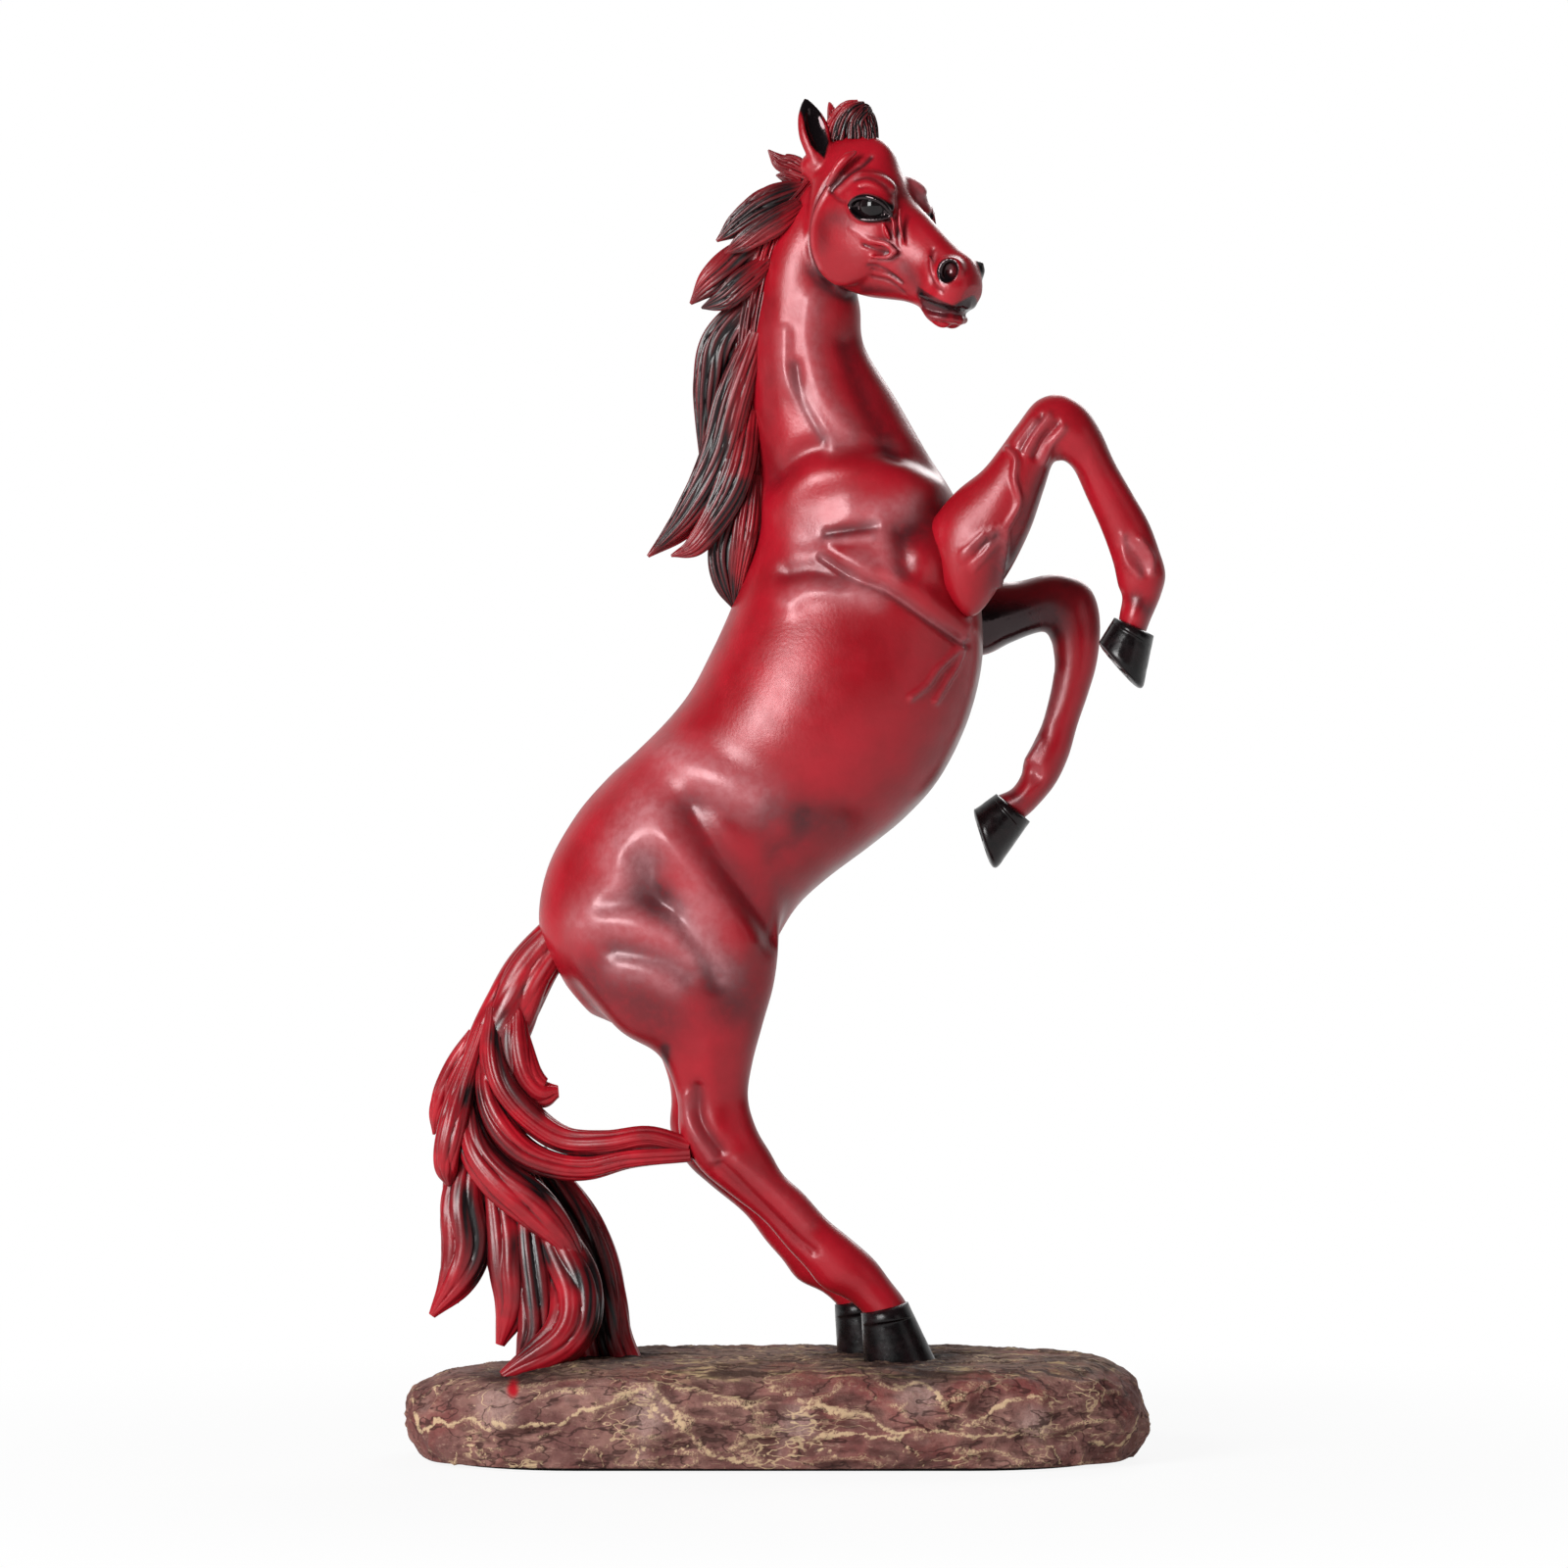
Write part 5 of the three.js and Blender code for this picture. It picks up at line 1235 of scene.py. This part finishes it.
def hair_lacquer(name, wash):
    """The same red on the crowns of the strands, black rubbed into what lies deeper."""
    paint = Paint(name, 0.3, specular=0.36)
    cloud = paint.noise(9, 3)
    fine = paint.noise(1.6, 4)
    strand = paint.mark("strand")
    paint.base = paint.mix(paint.span(cloud, 0.35, 0.65), srgb(132, 12, 24), srgb(166, 17, 32))
    dark = paint.mark("dark")
    deep = paint.span(paint.mark("hollow"), -0.1, 0.7, 0.0, 0.9)
    wash = paint.plus(paint.span(strand, 0.62, 0.3, 0.0, wash), deep)
    wash = paint.times(wash, paint.span(fine, 0.2, 0.6, 0.7, 1.1))
    rubbed = paint.times(dark, paint.span(strand, 0.98, 0.6, 0.72, 1.0))
    paint.over(paint.most(wash, rubbed, clamp=True), 18, 12, 14)
    # painted highlight: pale pink on the strands' crowns where the marks are pale
    crown_highlight = paint.times(paint.span(strand, 0.84, 0.99), paint.mark("pale"))
    paint.over(paint.times(crown_highlight, 0.6), 186, 130, 134)
    paint.colour(paint.base)
    paint.roughness(paint.span(paint.noise(5, 3), 0.3, 0.7, 0.28, 0.38))
    paint.bump(paint.noise(0.9, 2), 0.03)
    return paint.material


def gloss_black(name, gloss=0.0, specular=0.25):
    """Black paint of the hooves, or of the eyes where gloss gives it a clear coat."""
    paint = Paint(name, 0.2, specular=specular, coat=gloss, coat_roughness=0.04)
    cloud = paint.span(paint.noise(5, 3), 0.35, 0.7)
    paint.colour(paint.mix(cloud, srgb(9, 7, 8), srgb(26, 15, 17)))
    paint.roughness(paint.span(paint.noise(1.5, 3), 0.3, 0.7, 0.2, 0.34))
    paint.bump(paint.noise(0.7, 2), 0.02)
    return paint.material


def stone(name):
    """Painted rock: brown washes, cream dry-brushed along crests and cracks, grey-pink patches."""
    paint = Paint(name, 0.7, specular=0.1)
    cloud = paint.span(paint.noise(9, 4, 0.6), 0.4, 0.62)
    fine = paint.noise(1.1, 5, 0.7)
    speck = paint.noise(0.5, 4, 0.7)
    paint.base = paint.mix(cloud, srgb(108, 72, 68), srgb(138, 100, 92))
    grain = paint.noise(1.5, 5, 0.7, (0.35, 1, 1.2))
    paint.over(paint.span(grain, 0.46, 0.34, 0.0, 0.7), 66, 42, 40)
    paint.over(paint.span(grain, 0.56, 0.68, 0.0, 0.5), 176, 142, 126)
    top = paint.mark("top")
    paint.over(paint.times(top, 0.6), 124, 102, 88)
    red = paint.span(paint.noise(17, 3), 0.5, 0.66, 0.0, 0.4)
    red = paint.most(red, paint.times(paint.mark("rust"), 0.6))
    paint.over(paint.times(red, paint.span(fine, 0.3, 0.6, 0.5, 1.0)), 132, 62, 60)
    hollow = paint.span(paint.mark("crest"), -0.06, -0.36)
    paint.over(paint.times(hollow, 0.5), 62, 42, 38)
    patch = paint.plus(paint.mark("patch"), paint.span(paint.noise(13, 4), 0.58, 0.68, 0.0, 0.5))
    patch = paint.times(patch, paint.span(fine, 0.3, 0.62, 0.25, 0.7), clamp=True)
    paint.over(patch, 170, 140, 132)

    def cracks(size, wide, stretch):
        """Thin wandering lines where a noise crosses its middle value."""
        off = paint.maths("ABSOLUTE", paint.minus(paint.noise(size, 3, 0.5, stretch), 0.5))
        return paint.span(off, wide, 0.3 * wide)

    paint.over(paint.times(cracks(7, 0.02, (0.5, 1, 1.2)), 0.7), 50, 32, 30)
    where = paint.span(paint.noise(11, 3), 0.5, 0.62, 0.0, 0.9)
    thin = paint.most(cracks(9, 0.012, (0.6, 1, 1.3)), cracks(5, 0.014, (0.45, 1, 1.2)))
    thin = paint.times(thin, where)
    crest = paint.times(paint.span(paint.mark("crest"), 0.1, 0.34), paint.span(speck, 0.44, 0.56))
    crest = paint.times(crest, paint.span(cloud, 0.1, 1, 0.3, 0.9))
    broken = paint.plus(paint.mark("vein"), paint.times(paint.minus(fine, 0.5), 2.4))
    vein = paint.span(broken, 0.4, 0.85)
    line = paint.most(paint.most(vein, thin), crest)
    paint.over(paint.times(line, 0.72), 212, 184, 146)
    streak = paint.span(paint.noise(2.6, 4, 0.65, (0.22, 1, 1)), 0.54, 0.64)
    paint.over(paint.times(paint.times(streak, top), 0.7), 190, 166, 124)
    groove = paint.span(paint.noise(3.4, 4, 0.65, (0.2, 1, 1)), 0.5, 0.4)
    paint.over(paint.times(paint.times(groove, top), 0.85), 66, 48, 42)
    soot = paint.times(paint.mark("soot"), paint.span(paint.noise(3, 4), 0.3, 0.6, 0.55, 1.0))
    paint.over(paint.times(soot, 0.9), 30, 22, 22)
    paint.over(paint.mark("drip"), 160, 16, 30)
    paint.colour(paint.base)
    paint.roughness(paint.span(fine, 0.3, 0.7, 0.6, 0.8))
    paint.bump(paint.plus(fine, grain), 0.45)
    return paint.material


def rubber(name):
    """Dark grainy rubber, and the dowels' cast resin."""
    paint = Paint(name, 0.85, specular=0.3)
    grain = paint.noise(0.8, 4, 0.7)
    paint.colour(paint.mix(paint.span(grain, 0.3, 0.7), srgb(22, 21, 22), srgb(44, 42, 43)))
    paint.bump(grain, 0.08)
    return paint.material


def steel(name):
    """Drawn steel, streaked along the rod."""
    paint = Paint(name, 0.32, metallic=1.0)
    streak = paint.noise(1.2, 3, 0.6, (0.15, 0.15, 1))
    paint.colour(paint.mix(paint.span(streak, 0.3, 0.7), srgb(150, 148, 146), srgb(196, 194, 190)))
    paint.roughness(paint.span(streak, 0.3, 0.7, 0.26, 0.42))
    paint.bump(streak, 0.02)
    return paint.material


# Pieces

# Fine relief and airbrush of the head, as SKIN but on lines of [u, v] points; the pale is partly painted
# highlight
HEAD_MARKS = [
    # temple
    ([(15.2, 8.6), (14.9, 6.4), (13.4, 3.2), (11.6, -1.6)], 0.7, -0.3, 1, 0),
    ([(11.9, -1.8), (14.6, -2.4), (17.2, -2.2)], 0.5, -0.2, 0.5, 0),
    ([(16.6, 4.6), (15.2, 1.8), (13.6, -0.6)], 0.7, 0.15, 0, 0.5),
    # folds round the eye
    ([(16.8, 3.4), (20, 5.4), (24.4, 5.2), (27.8, 3)], 0.6, -0.3, 0.7, 0),
    ([(19.6, -5.6), (16.4, -6.4), (14.4, -9.8), (16, -13.6)], 2.4, 0, 0.5, 0),
    ([(30, 1.6), (32, -1.4), (34.6, -4.8)], 0.45, -0.1, 0.3, 0),
    ([(29.6, -1.2), (31.4, -3.8), (33.2, -6)], 0.4, -0.1, 0.25, 0),
    # crest of the face
    ([(21.5, -6.9), (26.6, -6.9), (31, -5.9), (33.8, -6.8)], 0.4, 0.1, 0, 0.6),
    ([(26, -9), (29.4, -8.8), (31.8, -8.4)], 0.5, -0.2, 0.6, 0),
    ([(33.6, -8.4), (32.3, -10), (28.6, -11.8)], 0.4, 0.1, 0, 0.4),
    ([(36, -9.6), (40.4, -12)], 2.2, -0.2, 0.55, 0),
    # muzzle and jaw
    ([(35, 0.2), (40, -1.8), (45, -3)], 1.2, 0, 0, 0.3),
    ([(40.6, -3.4), (42.6, -6.8), (45.2, -9.6), (48.6, -10.4)], 0.7, -0.35, 0.5, 0),
    ([(41.8, -3.8), (43.6, -7), (46, -9), (48.8, -9.6)], 0.4, 0.15, 0, 0.5),
    ([(28.6, -13), (30.2, -12.4), (33, -12.6), (36.6, -13.6)], 0.5, -0.3, 0.7, 0),
    ([(29.6, -15.4), (33.4, -14.6), (37.4, -15.6)], 0.5, -0.3, 0.6, 0),
    ([(27.6, -19.4), (33, -18), (38.4, -17)], 1.6, 0, 0.8, 0),
    # rear edge of the cheek
    ([(11.4, 2.6), (10.5, -3), (10.5, -9.4), (12.4, -15), (16.6, -19)], 0.7, 0.35, 0, 0.4),
    ([(9.8, 3), (8.9, -3), (8.9, -9.6), (11, -16.2), (16, -20.8), (21, -22.4)], 0.7, -0.6, 0.7, 0),
    ([(44, -16.4), (47.6, -16.8), (50.4, -15.8)], 1.6, 0, 0.7, 0),
]
LIPS = np.array([(43.0, -13.6, 5.4), (46.4, -13.6, 5.2), (49.4, -13.0, 4.2), (51.4, -12.2, 2.2),
                 (52.4, -11.4, 0)])


def head_paint(points):
    """Relief and black, dark and pale paint of the head, from the points' places in its frame."""
    local = to_head(points)
    u, w, v = local.T
    side = np.abs(w)
    mirrored = np.column_stack([u, side, v])
    rise, black, dark, pale = np.zeros((4, len(points)))
    far = np.linalg.norm((mirrored - [48.1, 7.2, -5.4]) / [3.0, 3.0, 3.5], axis=1)
    black = np.maximum(black, 1 - smoothstep(far, 0.88, 1.08))
    du, dv = u - 24.0, v + 0.8
    along, across = (0.966 * du + 0.259 * dv) / 6.2, -0.259 * du + 0.966 * dv
    lids = np.abs(across) + 0.9 * (w > 0) - 3.3 * np.clip(1 - along**2, 0, 1) ** 0.8
    lids = (1 - smoothstep(lids, -0.3, 0.3)) * (np.abs(along) < 1)
    black = np.maximum(black, lids * smoothstep(side, 6.2, 7.4))
    far = np.linalg.norm((local - [48.8, 5.2, -4.6]) / [3.2, 3.0, 3.6], axis=1)
    black = np.maximum(black, 1 - smoothstep(far, 0.85, 1.05))
    lips = to_line(mirrored, LIPS[:, [0, 2, 1]], np.array([0.5, 0.9, 1.3, 1.8, 2.0]))
    black = np.maximum(black, 1 - smoothstep(lips, -0.2, 0.5))
    dark += 0.85 * (1 - smoothstep(lips, 0.4, 2.6)) * (v < -12.6)
    # pale grey-pink over the far brow, partly painted highlight
    brow = np.linalg.norm((local - [22.0, 8.0, 4.0]) / [7.0, 5.0, 5.0], axis=1)
    pale += 1.1 * (1 - smoothstep(brow, 0.6, 1.1)) * (w > 2)
    base, up, out = ear_axes(1)
    high, open_ = (mirrored - base) @ up, (mirrored - base) @ out
    edge = np.abs((mirrored - base) @ np.cross(up, out))
    inner = smoothstep(high - 1.6 * edge, 0.6, 1.6) * smoothstep(open_, -1.6, -0.4)
    inner = inner * (1 - smoothstep(edge, 2.1, 2.8))
    black = np.maximum(black, inner * (high < np.where(w > 0, 12.0, 17.5)))
    flat = np.column_stack([u, v])
    near = (v > -26) & (side > 3)
    facing = smoothstep(side[near], 3, 4.5)
    for path, reach, lift, shade, glow in HEAD_MARKS:
        soft = facing * np.exp(-(to_path(flat[near], path) / reach) ** 2)
        rise[near] += lift * soft
        dark[near] += shade * soft
        pale[near] += glow * soft
    return rise, black, np.clip(dark, 0, 1), np.clip(pale, 0, 1)


def dress_horse():
    mesh, body, head = horse()
    points, quads, tris = outward(mesh)
    normals = normals_of((points, quads, tris))
    rise, dark, pale = marked_skin(points, normals)
    deep = smoothstep(to_head(points)[:, 2], -22, -18) * (points[:, 2] > 230)
    hollow = hollows(body, points) * (1 - deep) + 1.4 * hollows(head, to_head(points), 8) * deep
    on_head = (points[:, 2] > 240) & (to_head(points)[:, 0] > -16)
    more, black, more_dark, more_pale = head_paint(points)
    rise += more * on_head
    # painted reflection: pale down the front of the belly, where its surface faces forward and down
    belly = smoothstep(np.abs(normals[:, 1]), 0.46, 0.2) * smoothstep(normals[:, 0], 0.1, 0.4)
    belly *= smoothstep(points[:, 2], 100, 125) * smoothstep(points[:, 2], 204, 178)
    belly *= smoothstep(np.abs(points[:, 1]), 14, 8)
    marks = {
        "dark": np.clip(dark + more_dark * on_head, 0, 1),
        "pale": np.clip(pale + more_pale * on_head, 0, 1),
        "black": black * on_head, "hollow": hollow, "belly": belly,
    }
    points = points + normals * rise[:, None]
    build("horse_skin", (points, quads, tris), lacquer("red_lacquer_skin"), "horse_body",
          marks)


def dress_hair(name, made, node, rows, tint, wash=0.75):
    mesh, strands, clay = made
    points = mesh[0]
    _, dark, pale = marked_sides(points, normals_of(outward(mesh)), rows)
    marks = {"dark": np.clip(dark + tint(points), 0, 1), "pale": pale, "strand": strands,
             "hollow": hollows(clay, points, 4)}
    obj = build(name, mesh, hair_lacquer(name + "_paint", wash), node, marks)
    obj.data.set_sharp_from_angle(angle=math.radians(55))


def dress_foreleg(side, hand, rows, marks, dark_and_shadow_line):
    """A foreleg whose paint is black near the line, where there is one: airbrush and painted shadow."""
    mesh, dark, pale = foreleg(hand, rows, marks)
    zero = np.zeros(len(dark))
    black = zero
    if dark_and_shadow_line:
        black = 0.97 * np.exp(-(to_path(mesh[0][:, [0, 2]], dark_and_shadow_line) / DARK_AND_SHADOW_REACH) ** 4)
    build("foreleg_skin_" + side, mesh, lacquer("red_lacquer_foreleg_" + side), "foreleg_" + side,
          {"dark": dark, "pale": pale, "black": black, "hollow": zero})


EYE_RADIUS = 4.0
EYE_AT = (23.2, 7.1, -0.3)    # in the head's frame


def dress_eye(side, hand):
    rings, sides, radius = 48, 64, EYE_RADIUS
    polar = np.linspace(0.02, np.pi - 0.02, rings)[:, None]
    angle = np.arange(sides) / sides * 2 * np.pi
    swell = radius * (1 + 0.03 * np.exp(-(polar / 0.55) ** 4))
    local = np.stack([swell * np.sin(polar) * np.cos(angle), hand * swell * np.cos(polar) + 0 * angle,
                      swell * np.sin(polar) * np.sin(angle)], -1)
    centre = np.array([EYE_AT[0], hand * EYE_AT[1], EYE_AT[2]])
    points = from_head(local + centre)
    mesh = skin(points, from_head(centre + [0, hand * radius * 1.03, 0]),
                from_head(centre - [0, hand * radius, 0]))
    build("eyeball_" + side, mesh, gloss_black("eye_gloss_" + side, 0.6, 0.02), "eye_" + side)


dress_horse()
for side, hand in (("right", -1), ("left", 1)):
    dress_eye(side, hand)
dress_foreleg("right", -1, RIGHT_FORELEG, RIGHT_MARKS, None)
dress_foreleg("left", 1, LEFT_FORELEG, LEFT_MARKS, LEFT_DARK_AND_SHADOW)

HOOVES = {
    "hoof_rear_right": [(20.3, 10.6), (31.6, 13), (21, -2.5), (39, -2.5), -HALF_STANCE],
    "hoof_rear_left": [(14.3, 10.6), (25.6, 13), (15, -2.5), (33, -2.5), HALF_STANCE],
    "hoof_front_right": [(78.9, 172.9), (88.2, 168.2), (75.4, 167.2), (85.6, 155.4), -HALF_SHOULDERS, 0.12],
    "hoof_front_left": [(52.2, 132.0), (60.0, 124.9), (47.0, 128.2), (51.8, 113.2), HALF_SHOULDERS, 0.12],
}
for name, corners in HOOVES.items():
    build(name + "_horn", hoof(*corners), gloss_black(name + "_gloss"), name)

dress_hair("mane_hair", mane(), "mane", MANE_MARKS,
           lambda p: 0.3 + 0.35 * smoothstep(noise(p, 7, 90), -0.2, 0.5))
dress_hair("tail_hair", tail(), "tail", TAIL_MARKS,
           lambda p: 0.25 * smoothstep(noise(p, 8, 91), 0, 0.5), 0.25)
dress_hair("forelock_hair", forelock(), "forelock", [],
           lambda p: smoothstep(to_head(p)[:, 0] - 0.35 * (to_head(p)[:, 2] - 12), 0.4, 2.4))

rock_mesh, rock_marks = rock()
build("rock_skin", rock_mesh, stone("painted_rock_skin"), "rock_base", rock_marks)

finishes = {"base_pad": rubber("pad_rubber_grain")}
for name in ("leg_rod_right", "leg_rod_left", "tail_rod"):
    finishes[name] = steel(name + "_steel")
for name in ("tail_dowel", "foreleg_dowel_right", "foreleg_dowel_left"):
    finishes[name] = rubber(name + "_resin")
for name, finish in finishes.items():
    nodes[name].material_slots[0].material = finish


# Floor, world, lights and camera

def plain_floor():
    """A pale floor that keeps the shadow near the object and is white further out."""
    made = bmesh.new()
    bmesh.ops.create_circle(made, cap_ends=True, radius=6, segments=64)
    data = bpy.data.meshes.new("floor")
    made.to_mesh(data)
    made.free()
    floor = in_scene("floor", data)
    paint = Paint("floor_pale", 0.9, specular=0.2)
    paint.colour((0.86, 0.86, 0.86, 1))
    data.materials.append(paint.material)
    far = paint.node("ShaderNodeVectorMath", {0: paint.place}, operation="LENGTH")
    share = paint.span(far.outputs["Value"], 0.1, 0.34, 0.9, 1.0)
    rays = paint.node("ShaderNodeLightPath").outputs
    seen = paint.plus(rays["Is Camera Ray"], rays["Is Glossy Ray"])
    seen = paint.plus(seen, rays["Is Transmission Ray"], clamp=True)
    white = paint.node("ShaderNodeEmission").outputs[0]
    both = paint.choose(paint.times(share, seen), paint.shader.outputs[0], white)
    paint.put(both, paint.tree.nodes["Material Output"].inputs["Surface"])


def surroundings():
    """White where it is seen, a white backdrop and a dim room where it is mirrored, soft grey as light."""
    world = bpy.data.worlds.new("studio")
    bpy.context.scene.world = world
    world.use_nodes = True
    world.node_tree.nodes.clear()
    made = Nodes(world.node_tree)

    def background(colour):
        return made.node("ShaderNodeBackground", {"Color": colour}).outputs[0]

    rays = made.node("ShaderNodeLightPath").outputs
    generated = made.node("ShaderNodeTexCoord").outputs["Generated"]
    split = made.node("ShaderNodeSeparateXYZ", {0: generated})
    back = made.span(split.outputs["Y"], 0.1, 0.7, 0.04, 0.8)
    seen = made.choose(rays["Is Glossy Ray"], background((0.2, 0.2, 0.2, 1)), background(back))
    white = made.most(rays["Is Camera Ray"], rays["Is Transmission Ray"])
    both = made.choose(white, seen, background((1, 1, 1, 1)))
    made.node("ShaderNodeOutputWorld", {"Surface": both})


def softbox(name, place, size, watts):
    data = bpy.data.lights.new(name, "AREA")
    data.shape = "SQUARE"
    data.size = size
    data.energy = watts
    lamp = in_scene(name, data)
    lamp.location = place
    lamp.rotation_euler = (Vector((0, 0, 0.17)) - lamp.location).to_track_quat("-Z", "Y").to_euler()


plain_floor()
surroundings()
PHOTO_DISTANCE = 1.65

softbox("key", (-0.95, -1.2, 0.58), 0.7, 32)
softbox("fill", (1.2, -0.9, 0.4), 0.6, 0.8)
softbox("rim", (0.4, 1.2, 1.0), 0.8, 10)

eye = bpy.data.cameras.new("photo")
eye.sensor_width = 36
eye.lens = 161.41
eye.clip_start = 0.05
camera = in_scene("photo", eye)
camera.location = (0.0023, -PHOTO_DISTANCE, 0.15805)
camera.rotation_euler = (math.pi / 2, 0, 0)
bpy.context.scene.camera = camera
bpy.context.scene.view_settings.view_transform = "Standard"
